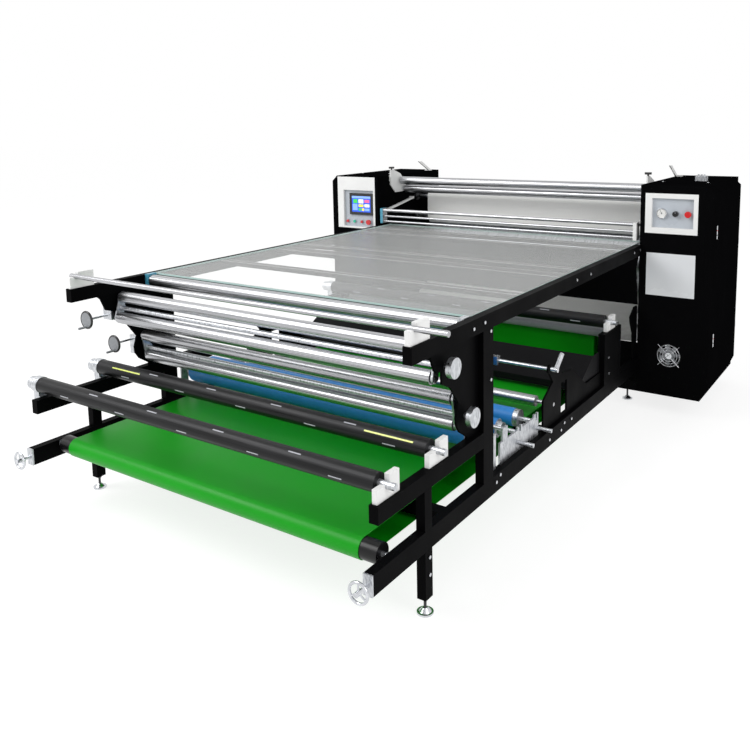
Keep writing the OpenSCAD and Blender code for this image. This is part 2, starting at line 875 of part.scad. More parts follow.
module bearing_housings() {
    color("#c9cacc") {
        for (d = [shaft_front_d, shaft_second_d]) chuck(d, shaft_z, arm_z + seam, arm_top - seam);
        chuck(shaft_rear_d, shaft_rear_z, rear_post_top_z - beam_h, rear_post_top_z - seam);
        worm_housing(swing_front_d, swing_front_z, -1);
        worm_housing(swing_rear_d, swing_rear_z, 1);
        both() {
            difference() {
                block(inner_x, frame_x, -end_plate_t, -seam, lower_rail_z, lower_rail_top);
                rod_y(-end_plate_t - over, over, screw_x, screw_z, screw_r + fit);
            }
            take_up_block();
        }
    }
    color("#4f93a8") both() difference() {
        block(inner_x - clamp_t, inner_x - seam, table_roller_d - clamp_len / 2,
            table_roller_d + clamp_len / 2, table_roller_z - table_clamp_low,
            table_roller_z + table_clamp_high);
        rod_x(inner_x - clamp_t - over, inner_x, table_roller_d, table_roller_z, journal_r + fit);
    }
    color("#1c1c1c") both() {
        flange(drum_d, drum_z, drum_journal_r, drum_bearing_grip);
        for (c = blanket_axes) flange(c[0], c[1], stub_r, bearing_grip);
    }
}

// A flange bearing on the inner wall of a cabinet
module flange(d, z, bore, grip) {
    ring_x(cabinet_x - bearing_t, cabinet_x - seam, d, z, bore + grip, bore + fit);
}

// The block in a lower rail that carries the belt's front roller and takes the screw
module take_up_block() {
    difference() {
        block(inner_x + tube_t + seam, frame_x - tube_t - seam, belt_front_d - take_up_len / 2,
            belt_front_d + take_up_len / 2, lower_rail_z + tube_t + seam,
            lower_rail_top - tube_t - seam);
        rod_x(inner_x, frame_x, belt_front_d, belt_axis_z, journal_r + fit);
        rod_y(belt_front_d - take_up_len / 2 - over, screw_end_d + over, screw_x, screw_z,
            screw_r + fit);
    }
}

module conveyor_belt() {
    color("#1f9c2b") band(belt_w, belt_t, belt_circles);
}

module product_tray() {
    color("#202022") {
        sheet_x(-tray_x, tray_x, [[at(tray_rear_d), tray_rear_z], [at(tray_front_d), tray_front_z],
            [at(tray_front_d), tray_front_z - tray_lip],
            [at(tray_front_d + tray_t), tray_front_z - tray_lip],
            [at(tray_front_d + tray_t), tray_front_z - tray_t],
            [at(tray_rear_d), tray_rear_z - tray_t]]);
        both() sheet_x(tray_x - tray_t, tray_x, [[at(tray_front_d + tray_t), tray_front_z - tray_lip],
            [at(rear_post_d - seam), tray_front_z - tray_lip], [at(rear_post_d - seam), tray_rear_z],
            [at(tray_rear_d), tray_rear_z], [at(tray_front_d + tray_t), tray_front_z]]);
    }
}

// A plate that holds the journal of a front blue roller in a slot, under the frame's arm
module fork_plate(d, z, low) {
    top = arm_z - seam;
    difference() {
        block(bracket_x, bracket_x + bracket_t, d - front_block_w / 2, d + front_block_w / 2, low, top);
        rod_x(bracket_x - over, bracket_x + bracket_t + over, d, z, journal_r + fit);
        block(bracket_x - over, bracket_x + bracket_t + over, d - journal_r - fit, d + journal_r + fit,
            z, top + over);
    }
}

module roller_brackets() {
    color("#b9bbbd") both() {
        base = lower_rail_top + seam;
        difference() {
            union() {
                block(bracket_x, bracket_x + bracket_t, bracket_d, bracket_d + bracket_len, base,
                    base + bracket_h);
                for (i = [2, 3])
                    block(bracket_x, bracket_x + bracket_t, blue_ds[i] - bracket_lug_w / 2,
                        min(blue_ds[i] + bracket_lug_w / 2, bracket_d + bracket_len), base,
                        base + bracket_h + bracket_lug_h);
                for (d = pin_ds) rod_x(pin_in, pin_out, d, pin_z, pin_r);
            }
            for (i = [2, 3]) {
                rod_x(bracket_x - over, bracket_x + bracket_t + over, blue_ds[i], blue_zs[i],
                    journal_r + fit);
                block(bracket_x - over, bracket_x + bracket_t + over, blue_ds[i] - journal_r - fit,
                    blue_ds[i] + journal_r + fit, blue_zs[i],
                    base + bracket_h + bracket_lug_h + over);
            }
        }
        for (i = [0, 1]) fork_plate(blue_ds[i], blue_zs[i], i == 0 ? base : base + bracket_h + seam);
    }
}

module blanket() {
    color("#f1f1ee") band(blanket_w, blanket_t, blanket_circles);
}

module front_guard() {
    back = rail_len - guard_gap;
    color("#141414") {
        sheet_x(-guard_x, guard_x, [[at(back), guard_top_z],
            [at(back - guard_bend), guard_bend_z], [at(back), guard_low_z],
            [at(back - guard_t), guard_low_z], [at(back - guard_bend - guard_t), guard_bend_z],
            [at(back - guard_t), guard_top_z]]);
        block(-guard_x, guard_x, rail_len, rail_len + guard_t, cabinet_z + base_h + seam,
            base_cover_top);
    }
}

// An outline of [across, up] points, drawn along the machine from d0 to d1
module sheet_y(d0, d1, points) {
    translate([0, at(d1), 0]) rotate([90, 0, 0]) linear_extrude(d1 - d0) polygon(points);
}

// The sheets of a cabinet, with the window of its control panel
module cabinet(window) {
    x0 = cabinet_x + sheet_t + seam;
    d0 = rail_len;
    d1 = rail_len + cabinet_depth;
    inner_d0 = d0 + sheet_t + seam;
    inner_d1 = d1 - sheet_t - seam;
    difference() {
        block(cabinet_x, cabinet_x + sheet_t, d0, d1, cabinet_z, cabinet_top);
        rod_x(cabinet_x - over, x0, drum_d, drum_z, drum_journal_r + wall_bore_gap);
        for (c = blanket_axes) rod_x(cabinet_x - over, x0, c[0], c[1], stub_r + wall_bore_gap);
    }
    difference() {
        block(x0, cabinet_out, d0, d0 + sheet_t, cabinet_z, cabinet_top);
        block(window[0] - tray_sheet - seam, window[1] + tray_sheet + seam, d0 - over,
            d0 + sheet_t + over, window[2] - tray_sheet - seam, window[3] + tray_sheet + seam);
        children();
    }
    block(x0, cabinet_out, d1 - sheet_t, d1, cabinet_z, cabinet_top);
    block(x0, cabinet_out, inner_d0, inner_d1, cabinet_top - sheet_t, cabinet_top);
    block(x0, cabinet_out, inner_d0, inner_d1, cabinet_z, cabinet_z + sheet_t);
    block(cabinet_out - sheet_t, cabinet_out, d0 + door_len + seam, inner_d1,
        cabinet_z + sheet_t + seam, cabinet_top - sheet_t - seam);
    for (z = hinge_zs) {
        rod_z(hinge_x, hinge_d, z, z + hinge_len / 2, hinge_r);
        rod_z(hinge_x, hinge_d, z, z + hinge_len, hinge_pin_r);
        block(cabinet_out + seam, hinge_x, hinge_d - hinge_leaf_t / 2, hinge_d + hinge_leaf_t / 2, z,
            z + hinge_len / 2);
    }
}

module cabinet_right() {
    color("#121212") cabinet(right_recess) rod_y(rail_len - over, rail_len + sheet_t + over, fan_x,
        fan_z, fan_r);
}

module cabinet_left() {
    color("#121212") mirror([1, 0, 0]) {
        cabinet(left_recess);
        difference() {
            block(cabinet_x + rear_box_inset, cabinet_out - rear_box_inset,
                rail_len + cabinet_depth + seam, rail_len + cabinet_depth + rear_box_depth,
                rear_box_z, rear_box_top_z);
            block(cabinet_x + rear_box_inset + sheet_t, cabinet_out - rear_box_inset - sheet_t,
                rail_len + cabinet_depth - over,
                rail_len + cabinet_depth + rear_box_depth - sheet_t, rear_box_z + sheet_t,
                rear_box_top_z - sheet_t);
        }
    }
}

// A side door: a chamfered cover, its hinge knuckles and its latches
module door() {
    d0 = rail_len;
    d1 = rail_len + door_len;
    slope_top = chamfer_top / door_t;
    slope_low = chamfer_low / door_t;
    skin_top = sheet_t * norm([1, slope_top]);
    skin_low = sheet_t * norm([1, slope_low]);
    x0 = cabinet_out + seam;
    x1 = door_x - sheet_t;
    difference() {
        sheet_y(d0, d1, [[x0, cabinet_top], [door_x, cabinet_top - chamfer_top],
            [door_x, cabinet_z + chamfer_low], [x0, cabinet_z]]);
        sheet_y(d0 + sheet_t, d1 - sheet_t, [[x0 - over, cabinet_top - skin_top + over * slope_top],
            [x1, cabinet_top - skin_top - (x1 - x0) * slope_top],
            [x1, cabinet_z + skin_low + (x1 - x0) * slope_low],
            [x0 - over, cabinet_z + skin_low - over * slope_low]]);
    }
    for (z = hinge_zs) difference() {
        union() {
            rod_z(hinge_x, hinge_d, z + hinge_len / 2 + seam, z + hinge_len, hinge_r);
            block(hinge_x - hinge_leaf_t / 2, hinge_x + hinge_leaf_t / 2, d1 - sheet_t, hinge_d,
                z + hinge_len / 2 + seam, z + hinge_len);
        }
        rod_z(hinge_x, hinge_d, z, z + hinge_len + over, hinge_pin_r + fit);
    }
    for (z = latch_zs)
        block(door_x, door_x + latch_t, d0 + latch_d, d0 + latch_d + latch_w, z, z + latch_h);
}

module door_right() {
    color("#121212") door();
}

module door_left() {
    color("#121212") mirror([1, 0, 0]) door();
}

// A recessed control panel: rect and recess are [left, right, bottom, top]; children are its holes
module panel_tray(rect, recess) {
    back = rail_len + panel_recess;
    difference() {
        union() {
            block(rect[0], rect[1], rail_len - panel_proud, rail_len - seam, rect[2], rect[3]);
            block(recess[0] - tray_sheet, recess[1] + tray_sheet, rail_len - panel_proud,
                back + inner_plate_t, recess[2] - tray_sheet, recess[3] + tray_sheet);
        }
        block(recess[0], recess[1], rail_len - panel_proud - over, back, recess[2], recess[3]);
        children();
    }
}

// The hole of a switch through a panel's inner plate, and the collar round it
module switch_hole(x, z, r) {
    rod_y(rail_len + panel_recess - over, rail_len + panel_recess + inner_plate_t + over, x, z,
        r + fit);
}

module switch_collar(x, z, bore) {
    ring_y(rail_len + panel_recess - collar_t, rail_len + panel_recess, x, z, bore + collar_w, bore);
}

module control_panels() {
    color("#f4f4f4") {
        panel_tray(right_panel, right_recess) {
            switch_hole(knob_x, switch_z, switch_stem_r);
            switch_hole(e_stop_right_x, switch_z, switch_stem_r);
        }
        mirror([1, 0, 0]) panel_tray(left_panel, left_recess) {
            for (x = button_xs) switch_hole(x, button_z, switch_stem_r);
            switch_hole(e_stop_left_x, button_z, switch_stem_r);
        }
        block(plate_rect[0], plate_rect[1], rail_len - light_plate_t, rail_len - seam, plate_rect[2],
            plate_rect[3]);
    }
    color("#c4c8ce") {
        switch_collar(knob_x, switch_z, knob_r + switch_gap);
        switch_collar(e_stop_right_x, switch_z, e_stop_neck_r + switch_gap);
        mirror([1, 0, 0]) {
            for (x = button_xs) switch_collar(x, button_z, button_r + switch_gap);
            switch_collar(e_stop_left_x, button_z, e_stop_neck_r + switch_gap);
        }
    }
}

module panel_displays() {
    back = rail_len + panel_recess;
    color("#20242c") block(-screen[1], -screen[0], back - screen_t, back - seam, screen[2],
        screen[3]);
    color("#d8dadc") {
        ring_y(back - gauge_t, back - seam, gauge_x, switch_z, gauge_r, gauge_r - gauge_rim);
        rod_y(back - gauge_t + gauge_rim, back - seam, gauge_x, switch_z, gauge_r - gauge_rim - seam);
    }
}

// Wire guard in front of the fan opening, and the fan frame with its motor mount behind it
module fan_guard() {
    color("#c8c8ca") translate([fan_x, at(rail_len) - strut_wire_r - seam, fan_z]) rotate([90, 0, 0]) {
        for (r = wire_rings) rotate_extrude($fn = round_fn) translate([r, 0]) circle(wire_r, $fn = wire_fn);
        cylinder(h = 2 * wire_r, r = guard_hub_r, center = true, $fn = round_fn);
        for (i = [0:3]) rotate([0, 90, 45 + i * 90])
            cylinder(h = fan_strut_reach, r = strut_wire_r, $fn = wire_fn);
    }
    front = rail_len + sheet_t + seam;
    back = front + fan_frame_t;
    color("#2a2a2c") {
        difference() {
            block(fan_x - fan_r - fan_frame_wall, fan_x + fan_r + fan_frame_wall, front, back,
                fan_z - fan_r - fan_frame_wall, fan_z + fan_r + fan_frame_wall);
            rod_y(front - over, back + over, fan_x, fan_z, fan_r - fan_frame_wall / 2);
        }
        rod_y(back - fan_mount_t, back, fan_x, fan_z, fan_hub_r);
        for (i = [0:2]) {
            middle = [fan_x, fan_z];
            tip = middle + [cos(i * 120), sin(i * 120)] * fan_r;
            side = [-sin(i * 120), cos(i * 120)] * fan_mount_t / 2;
            sheet_y(back - fan_mount_t, back, [middle + side, middle - side, tip - side, tip + side]);
        }
    }
}

module fan_rotor() {
    front = rail_len + sheet_t + seam + fan_gap;
    depth = fan_frame_t - fan_mount_t - 2 * fan_gap;
    color("#9a9aa0") {
        rod_y(front, front + depth, fan_x, fan_z, fan_hub_r);
        translate([fan_x, at(front + depth / 2), fan_z]) rotate([-90, 0, 0])
            for (i = [1:fan_blades]) rotate([0, 0, i * 360 / fan_blades])
                rotate([fan_blade_tilt, 0, 0]) translate([0, -fan_blade_w / 2, -fan_blade_t / 2])
                    cube([fan_blade_r, fan_blade_w, fan_blade_t]);
    }
}

// Hollow-shaft gear unit and motor on the drum's right journal, held by a bracket on the wall
module drum_drive() {
    color("#4a5a66") {
        difference() {
            block(gear_x, gear_x + gear_t, drum_d - gear_w / 2, drum_d + gear_w / 2,
                drum_z - gear_h / 2, drum_z + gear_h / 2);
            rod_x(gear_x - over, gear_x + gear_t + over, drum_d, drum_z, drum_journal_r + fit);
        }
        rod_z(gear_x + gear_t / 2, drum_d, drum_z - gear_h / 2 - motor_len, drum_z - gear_h / 2,
            motor_r, round_fn);
        block(cabinet_x + sheet_t + seam, gear_x, drum_d - gear_w / 2, drum_d + gear_w / 2,
            drum_z - gear_h / 2, drum_z - gear_h / 2 + gear_foot_h);
    }
}

module guide_arms() {
    color("#f3f3f3") {
        both() {
            guide_plate();
            sheet_x(arm_bar_x, arm_bar_x + arm_bar_w, [
                [at(rod_clamp_d + rod_clamp_len), rod_zs[0] - arm_bar_w],
                [at(rod_clamp_d + rod_clamp_len), rod_zs[0]], [at(arm_rear_d), arm_rear_z],
                [at(arm_rear_d), arm_rear_z - arm_bar_w]]);
            rod_x(arm_bar_x, cabinet_x - seam, arm_rear_d - arm_bar_w / 2,
                arm_rear_z - arm_bar_w / 2, arm_bar_w / 2, small_fn);
            roll_arm();
        }
        for (i = [0:len(rod_ds) - 1]) rod_x(-rod_half, rod_half, rod_ds[i], rod_zs[i], rod_rs[i]);
    }
    color("#4f93a8") both() block(rod_half, arm_bar_x + arm_bar_w, rod_clamp_d,
        rod_clamp_d + rod_clamp_len, rod_zs[2] - rod_clamp_edge, rod_zs[0] + rod_clamp_edge);
    color("#1a1a1a") both() {
        rod_z(guide_plate_x + guide_plate_t / 2, star_d, guide_plate_z + guide_plate_h, star_z,
            star_stem_r);
        rod_z(guide_plate_x + guide_plate_t / 2, star_d, star_z, star_z + star_t, star_r);
    }
    color("#b9bcc0") {
        block(manifold_x, manifold_x + manifold[0], manifold_d, manifold_d + manifold[1],
            cabinet_top + seam, cabinet_top + manifold[2]);
        for (i = [1:ports])
            rod_z(manifold_x + i * manifold[0] / (ports + 1), manifold_d + manifold[1] / 2,
                cabinet_top + manifold[2], cabinet_top + manifold[2] + port_h, port_r);
    }
}

// A bracket plate for the top guide rollers, on the inner wall of a cabinet
module guide_plate() {
    difference() {
        union() {
            sheet_x(guide_plate_x, guide_plate_x + guide_plate_t, [for (s = guide_plate_shares)
                [at(guide_plate_d + s[0] * guide_plate_len), guide_plate_z + s[1] * guide_plate_h]]);
            block(guide_plate_x + guide_plate_t, cabinet_x - seam, guide_plate_d,
                guide_plate_d + guide_plate_t, guide_plate_z + guide_plate_h / 2,
                cabinet_top - seam);
        }
        for (i = [0, 1])
            rod_x(guide_plate_x - over, guide_plate_x + guide_plate_t + over, guide_ds[i],
                guide_zs[i], journal_r + fit);
    }
}

// A slotted arm on top of a cabinet that holds the end of a roll
module roll_arm() {
    x0 = cabinet_x + sheet_t;
    difference() {
        union() {
            sheet_x(x0, x0 + roll_arm_t, [[at(roll_arm_d), cabinet_top + seam],
                [at(roll_arm_d + roll_arm_w), cabinet_top + seam],
                [at(roll_arm_tip_d + roll_arm_w / 2), roll_arm_tip_z],
                [at(roll_arm_tip_d - roll_arm_w / 2), roll_arm_tip_z]]);
            block(x0, x0 + roll_arm_w, roll_arm_d, roll_arm_d + roll_arm_w, cabinet_top + seam,
                cabinet_top + roll_arm_t);
        }
        rod_x(x0 - over, x0 + roll_arm_t + over, roll_arm_tip_d, roll_arm_tip_z, roll_slot_w / 2);
    }
}

module bolts() {
    color("#d5d6d8") {
        both() for (b = frame_bolts) rod_x(frame_x + seam, frame_x + bolt_h, b[0], b[1], bolt_r, hex_fn);
        both() for (p = top_screws)
            rod_z(p[0], p[1], cabinet_top + seam, cabinet_top + bolt_h, bolt_r, hex_fn);
    }
}

// An air shaft: slotted body, right journal in the slotted block, left journal with brake disc
// Slots of one row; every other row is shifted by half a pitch
function shaft_slot_xs(odd) = let (reach = ceil(shaft_left / shaft_slot_pitch))
    [for (k = [-reach:reach]) let (x = (k + (odd == 1 ? 0 : 0.5)) * shaft_slot_pitch)
        if (x - shaft_slot_len > -shaft_left && x + shaft_slot_len < shaft_right) x];

module air_shaft(d, z) {
    disc_x = -(shaft_left + 2 * chuck_gap + chuck_len);
    color("#1b1b1d") {
        difference() {
            ring_x(-shaft_left, shaft_right, d, z, shaft_r, shaft_r - roller_wall);
            for (row = [0:shaft_rows - 1]) for (x = shaft_slot_xs(row % 2))
                translate([x, at(d), z]) rotate([shaft_row_turn + row * 360 / shaft_rows, 0, 0])
                    translate([-shaft_slot_len / 2, -shaft_slot_w / 2, shaft_r - shaft_slot_depth])
                        cube([shaft_slot_len, shaft_slot_w, shaft_slot_depth + over]);
        }
        rod_x(-shaft_left, -shaft_left + plug_t, d, z, shaft_r - roller_wall - fit);
        rod_x(shaft_right - plug_t, shaft_right, d, z, shaft_r - roller_wall - fit);
        rod_x(shaft_right, shaft_tip, d, z, shaft_journal_r);
    }
    color("#c9cacc") {
        rod_x(disc_x - brake_t - shaft_end_t, -shaft_left, d, z, shaft_journal_r);
        rod_x(disc_x - brake_t, disc_x, d, z, brake_r);
    }
}

module air_shaft_front() { air_shaft(shaft_front_d, shaft_z); }
module air_shaft_second() { air_shaft(shaft_second_d, shaft_z); }
module air_shaft_rear() { air_shaft(shaft_rear_d, shaft_rear_z); }

// A swing frame: two arms with the bores of its rollers, tie bar, pivots, hub and worm wheel
module swing_frame(d, z, top, low) {
    x0 = swing_roller_len / 2 + journal_gap;
    x1 = x0 + swing_arm_t;
    a = [d + top[0], z + top[1]];
    b = [d + low[0], z + low[1]];
    lean = (a - b) / norm(a - b);
    side = [lean[1], -lean[0]] * swing_arm_w / 2;
    color("#c4c6c9") difference() {
        both() {
            rod_x(x0, x1, a[0], a[1], swing_arm_r);
            rod_x(x0, x1, b[0], b[1], swing_arm_r);
            sheet_x(x0, x1, [for (p = [a + side, a - side, b - side, b + side]) [at(p[0]), p[1]]]);
            rod_x(x0, x1, d, z, swing_arm_r);
        }
        for (c = [a, b]) rod_x(-x1 - over, x1 + over, c[0], c[1], journal_r + fit);
    }
    color("#b4b6b9") {
        rod_x(-x0, x0, d, z, swing_bar_r);
        rod_x(x1, hub_x + hub_t, d, z, pivot_r);
        rod_x(hub_x, hub_x + hub_t, d, z, hub_r);
        rod_x(-worm_x - worm_wheel_t / 2, -x1, d, z, pivot_r);
        rod_x(-worm_x - worm_wheel_t / 2, -worm_x + worm_wheel_t / 2, d, z, worm_wheel_r);
    }
}

module swing_roller(d, z, place) {
    half = swing_roller_len / 2;
    reach = half + journal_gap + swing_arm_t;
    color("#d7d9dc") roller(half, d + place[0], z + place[1], swing_roller_r, reach, reach);
}

module swing_frame_front() {
    swing_frame(swing_front_d, swing_front_z, swing_front_top, swing_front_low);
}
module swing_frame_rear() {
    swing_frame(swing_rear_d, swing_rear_z, swing_rear_top, swing_rear_low);
}
module swing_front_top_roller() { swing_roller(swing_front_d, swing_front_z, swing_front_top); }
module swing_front_low_roller() { swing_roller(swing_front_d, swing_front_z, swing_front_low); }
module swing_rear_top_roller() { swing_roller(swing_rear_d, swing_rear_z, swing_rear_top); }
module swing_rear_low_roller() { swing_roller(swing_rear_d, swing_rear_z, swing_rear_low); }

// A swing handwheel with its shaft and worm
module swing_wheel(d, z) {
    rear = d + worm_wheel_r + housing_gap + housing_wall;
    wheel_d = d - swing_wheel_reach;
    color("#9b9da0") {
        rod_y(wheel_d, rear, -worm_x, z, worm_shaft_r, small_fn);
        rod_y(d - worm_len / 2, d + worm_len / 2, -worm_x, z, worm_r, small_fn);
        rod_y(wheel_d - swing_wheel_t / 2, wheel_d + swing_wheel_t / 2, -worm_x, z,
            swing_wheel_r - grip_r);
        rod_y(wheel_d - grip_len, wheel_d, -worm_x, z - swing_wheel_r + 2 * grip_r, grip_r, small_fn);
    }
    color("#151515") translate([-worm_x, at(wheel_d), z]) rotate([90, 0, 0])
        rotate_extrude($fn = round_fn) translate([swing_wheel_r - grip_r, 0])
            circle(grip_r, $fn = wire_fn);
}

module swing_wheel_front() { swing_wheel(swing_front_d, swing_front_z - worm_offset); }
module swing_wheel_rear() { swing_wheel(swing_rear_d, swing_rear_z + worm_offset); }

module table_front_roller() {
    color("#d7d9dc") roller(table_roller_half, table_roller_d, table_roller_z, table_roller_r,
        inner_x - journal_gap, inner_x - journal_gap);
}

// A blue roller with a silver cap at each end
module blue_roller(i) {
    half = blue_len / 2;
    reach = bracket_x + bracket_t;
    color("#2f86cf") roller(half, blue_ds[i], blue_zs[i], blue_rs[i], reach, reach);
    color("#c9cacc") both() rod_x(half, half + cap_len, blue_ds[i], blue_zs[i], cap_rs[i]);
}

module blue_roller_front() { blue_roller(0); }
module blue_roller_second() { blue_roller(1); }
module blue_roller_middle() { blue_roller(2); }
module blue_roller_rear() { blue_roller(3); }

module belt_front_roller() {
    color("#161616") roller(belt_w / 2 + belt_edge, belt_front_d, belt_axis_z, belt_roller_r,
        take_up_reach, take_up_reach);
}

// A roller that runs in the bearing plates at the belt's rear
module plate_roller(d, z, r) {
    reach = inner_x - 2 * seam;
    roller(belt_w / 2 + belt_edge, d, z, r, reach, reach);
}

module belt_rear_roller() { color("#161616") plate_roller(belt_rear_d, belt_axis_z, belt_roller_r); }
module belt_top_roller() { color("#161616") plate_roller(belt_top_d, belt_top_z, belt_top_r); }
module lay_on_roller() { color("#8d8f94") plate_roller(lay_on_d, lay_on_z, lay_on_r); }

// A three-spoke handwheel on the screw that tensions the belt
module belt_wheel() {
    color("#cfd1d3") {
        rod_y(-wheel_reach, -wheel_gap, screw_x, screw_z, wheel_hub_r, small_fn);
        rod_y(-wheel_gap, screw_end_d, screw_x, screw_z, screw_r, small_fn);
        translate([screw_x, at(-wheel_gap - wheel_hub_len / 2), screw_z]) rotate([90, 0, 0]) {
            rotate_extrude($fn = round_fn) translate([belt_wheel_r - wheel_rim_r, 0])
                circle(wheel_rim_r, $fn = wire_fn);
            for (i = [1:wheel_spokes]) rotate([0, 90, 90 + i * 360 / wheel_spokes])
                cylinder(h = belt_wheel_r - wheel_rim_r, r = wheel_spoke_r, $fn = wire_fn);
        }
    }
}

module belt_wheel_right() { belt_wheel(); }
module belt_wheel_left() { mirror([1, 0, 0]) belt_wheel(); }

module release_lever() {
    color("#c9cacc") {
        rod_x(-panel_x - plate_t - journal_gap, lever_out, lever_d, lever_z, lever_r);
        rod_x(lever_out - lever_hub_len, lever_out, lever_d, lever_z, lever_arm_r);
        translate([lever_out - lever_arm_r, at(lever_d), lever_z])
            rotate([-atan2(lever_arm[0], lever_arm[1]), 0, 0])
                cylinder(h = norm(lever_arm), r = lever_arm_r, $fn = small_fn);
        block(lever_clamp_x, lever_clamp_x + lever_clamp_w, lever_d - lever_clamp_w / 2,
            lever_d + lever_clamp_w / 2, lever_z - lever_clamp_h / 2, lever_z + lever_clamp_h / 2);
    }
}

module lower_guide_roller() {
    reach = panel_x + plate_t;
    color("#d7d9dc") roller(low_guide_len / 2, low_guide_d, low_guide_z, low_guide_r, reach, reach);
}

module drum() {
    color("#8f9296") {
        roller(drum_len / 2, drum_d, drum_z, drum_r, stub_out, gear_x + gear_t + journal_gap,
            drum_journal_r, drum_wall);
        rod_x(-drum_len / 2 + plug_t, drum_len / 2 - plug_t, drum_d, drum_z, heater_r);
    }
}

module blanket_roller(d, z, r) {
    roller(blanket_w / 2 + journal_gap, d, z, r, stub_out, stub_out, stub_r);
}

module nip_roller() { color("#a9abae") blanket_roller(nip_d, nip_z, blanket_roller_r); }
module top_front_roller() { color("#a9abae") blanket_roller(nip_d, blanket_top_z, blanket_roller_r); }
module tension_roller() {
    color("#a9abae") blanket_roller(blanket_rear_d, blanket_top_z, blanket_roller_r);
}
module lower_rear_roller() {
    color("#a9abae") blanket_roller(blanket_rear_d, blanket_low_z, blanket_roller_r);
}
module exit_roller() { color("#a9abae") blanket_roller(exit_d, exit_z, exit_r); }

module guide_roller(i) {
    reach = guide_plate_x + guide_plate_t;
    color("#dcdde0") roller(guide_half, guide_ds[i], guide_zs[i], guide_r, reach, reach);
}

module guide_roller_upper() { guide_roller(0); }
module guide_roller_lower() { guide_roller(1); }

// A push button: head over the collar, stem through the inner plate
module button(x) {
    back = rail_len + panel_recess;
    rod_y(back - button_rest - button_len, back - button_rest, x, button_z, button_r, small_fn);
    rod_y(back - button_rest, back + switch_stem_len, x, button_z, switch_stem_r, small_fn);
}

module stop_button() { color("#c8202c") button(-button_xs[0]); }
module start_button() { color("#27c4a8") button(-button_xs[1]); }
module reset_button() { color("#d01f26") button(-button_xs[2]); }

// A mushroom-head emergency stop
module e_stop(x, z) {
    back = rail_len + panel_recess;
    rod_y(back - e_stop_rest - e_stop_head, back - e_stop_rest, x, z, e_stop_r);
    rod_y(back - e_stop_rest, back - neck_rest, x, z, e_stop_neck_r, small_fn);
    rod_y(back - neck_rest, back + switch_stem_len, x, z, switch_stem_r, small_fn);
}

module e_stop_left() { color("#d4151c") e_stop(-e_stop_left_x, button_z); }
module e_stop_right() { color("#d4151c") e_stop(e_stop_right_x, switch_z); }

module regulator_knob() {
    back = rail_len + panel_recess;
    color("#1a1a1a") {
        rod_y(back - seam - knob_len, back - seam, knob_x, switch_z, knob_r);
        rod_y(back - seam, back + switch_stem_len, knob_x, switch_z, switch_stem_r, small_fn);
    }
}

main_frame();
levelling_feet();
side_plates();
glass_top();
table_bars();
bearing_housings();
conveyor_belt();
product_tray();
roller_brackets();
blanket();
front_guard();
cabinet_left();
cabinet_right();
control_panels();
panel_displays();
fan_guard();
drum_drive();
guide_arms();
bolts();
air_shaft_front();
air_shaft_second();
air_shaft_rear();
swing_frame_front();
swing_front_top_roller();
swing_front_low_roller();
swing_frame_rear();
swing_rear_top_roller();
swing_rear_low_roller();
swing_wheel_front();
swing_wheel_rear();
table_front_roller();
blue_roller_front();
blue_roller_second();
blue_roller_middle();
blue_roller_rear();
belt_front_roller();
belt_rear_roller();
belt_top_roller();
lay_on_roller();
belt_wheel_left();
belt_wheel_right();
release_lever();
lower_guide_roller();
drum();
nip_roller();
top_front_roller();
tension_roller();
lower_rear_roller();
exit_roller();
guide_roller_upper();
guide_roller_lower();
door_left();
door_right();
stop_button();
start_button();
reset_button();
regulator_knob();
e_stop_left();
e_stop_right();
fan_rotor();
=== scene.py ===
"""Looks of a rotary drum heat press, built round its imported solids. Lengths are in metres unless a name or a
comment says millimetres."""

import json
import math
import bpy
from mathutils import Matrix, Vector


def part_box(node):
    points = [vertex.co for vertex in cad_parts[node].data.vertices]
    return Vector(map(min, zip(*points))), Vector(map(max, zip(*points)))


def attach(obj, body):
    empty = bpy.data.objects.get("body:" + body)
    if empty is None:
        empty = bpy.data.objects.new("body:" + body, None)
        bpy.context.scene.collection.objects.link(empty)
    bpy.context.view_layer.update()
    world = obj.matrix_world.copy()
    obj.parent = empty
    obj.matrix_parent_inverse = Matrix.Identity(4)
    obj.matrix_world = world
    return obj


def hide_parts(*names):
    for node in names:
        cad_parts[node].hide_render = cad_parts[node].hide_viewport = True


bl_info = {
    "name": "Rotary Drum Heat Press",
    "version": (1, 0, 0),
    "blender": (4, 5, 0),
    "location": "View3D > Sidebar > Heat Press",
    "description": "Builds a rotary drum heat press with its feed table, rollers and cabinets",
    "category": "Object",
}

import bmesh
import bpy
from bpy.props import FloatProperty, IntProperty, PointerProperty, StringProperty
from mathutils import Matrix, Vector

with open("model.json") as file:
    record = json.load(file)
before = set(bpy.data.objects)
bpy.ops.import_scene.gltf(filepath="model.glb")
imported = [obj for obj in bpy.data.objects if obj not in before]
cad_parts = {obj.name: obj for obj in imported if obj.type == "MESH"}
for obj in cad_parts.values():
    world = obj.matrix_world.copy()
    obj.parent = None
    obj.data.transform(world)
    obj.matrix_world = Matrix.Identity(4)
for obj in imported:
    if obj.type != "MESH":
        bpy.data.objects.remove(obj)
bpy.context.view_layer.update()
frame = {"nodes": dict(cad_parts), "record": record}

MM = 0.001
# Stations along the machine are counted in millimetres from the front end of the lower rails
RAIL_FRONT = -1.9525
# Rounding and shading: edges sharper than this turn are rounded and stay sharp in the shading
SHARP_TURN = math.radians(38)
BEVEL_SEGMENTS = 2
# A band's own edges, and the turn between two of its points at a roller
BAND_SHARP_TURN = math.radians(30)
BAND_STEP = math.radians(4)
# Width of the belt and of the blanket
BAND_WIDTH = 1.740
# The bar that bends the belt at its rear corner: radius, place in front of the top roller, and height
CORNER_BAR = {"radius": 0.020, "before": 0.0538, "height": 0.3888}
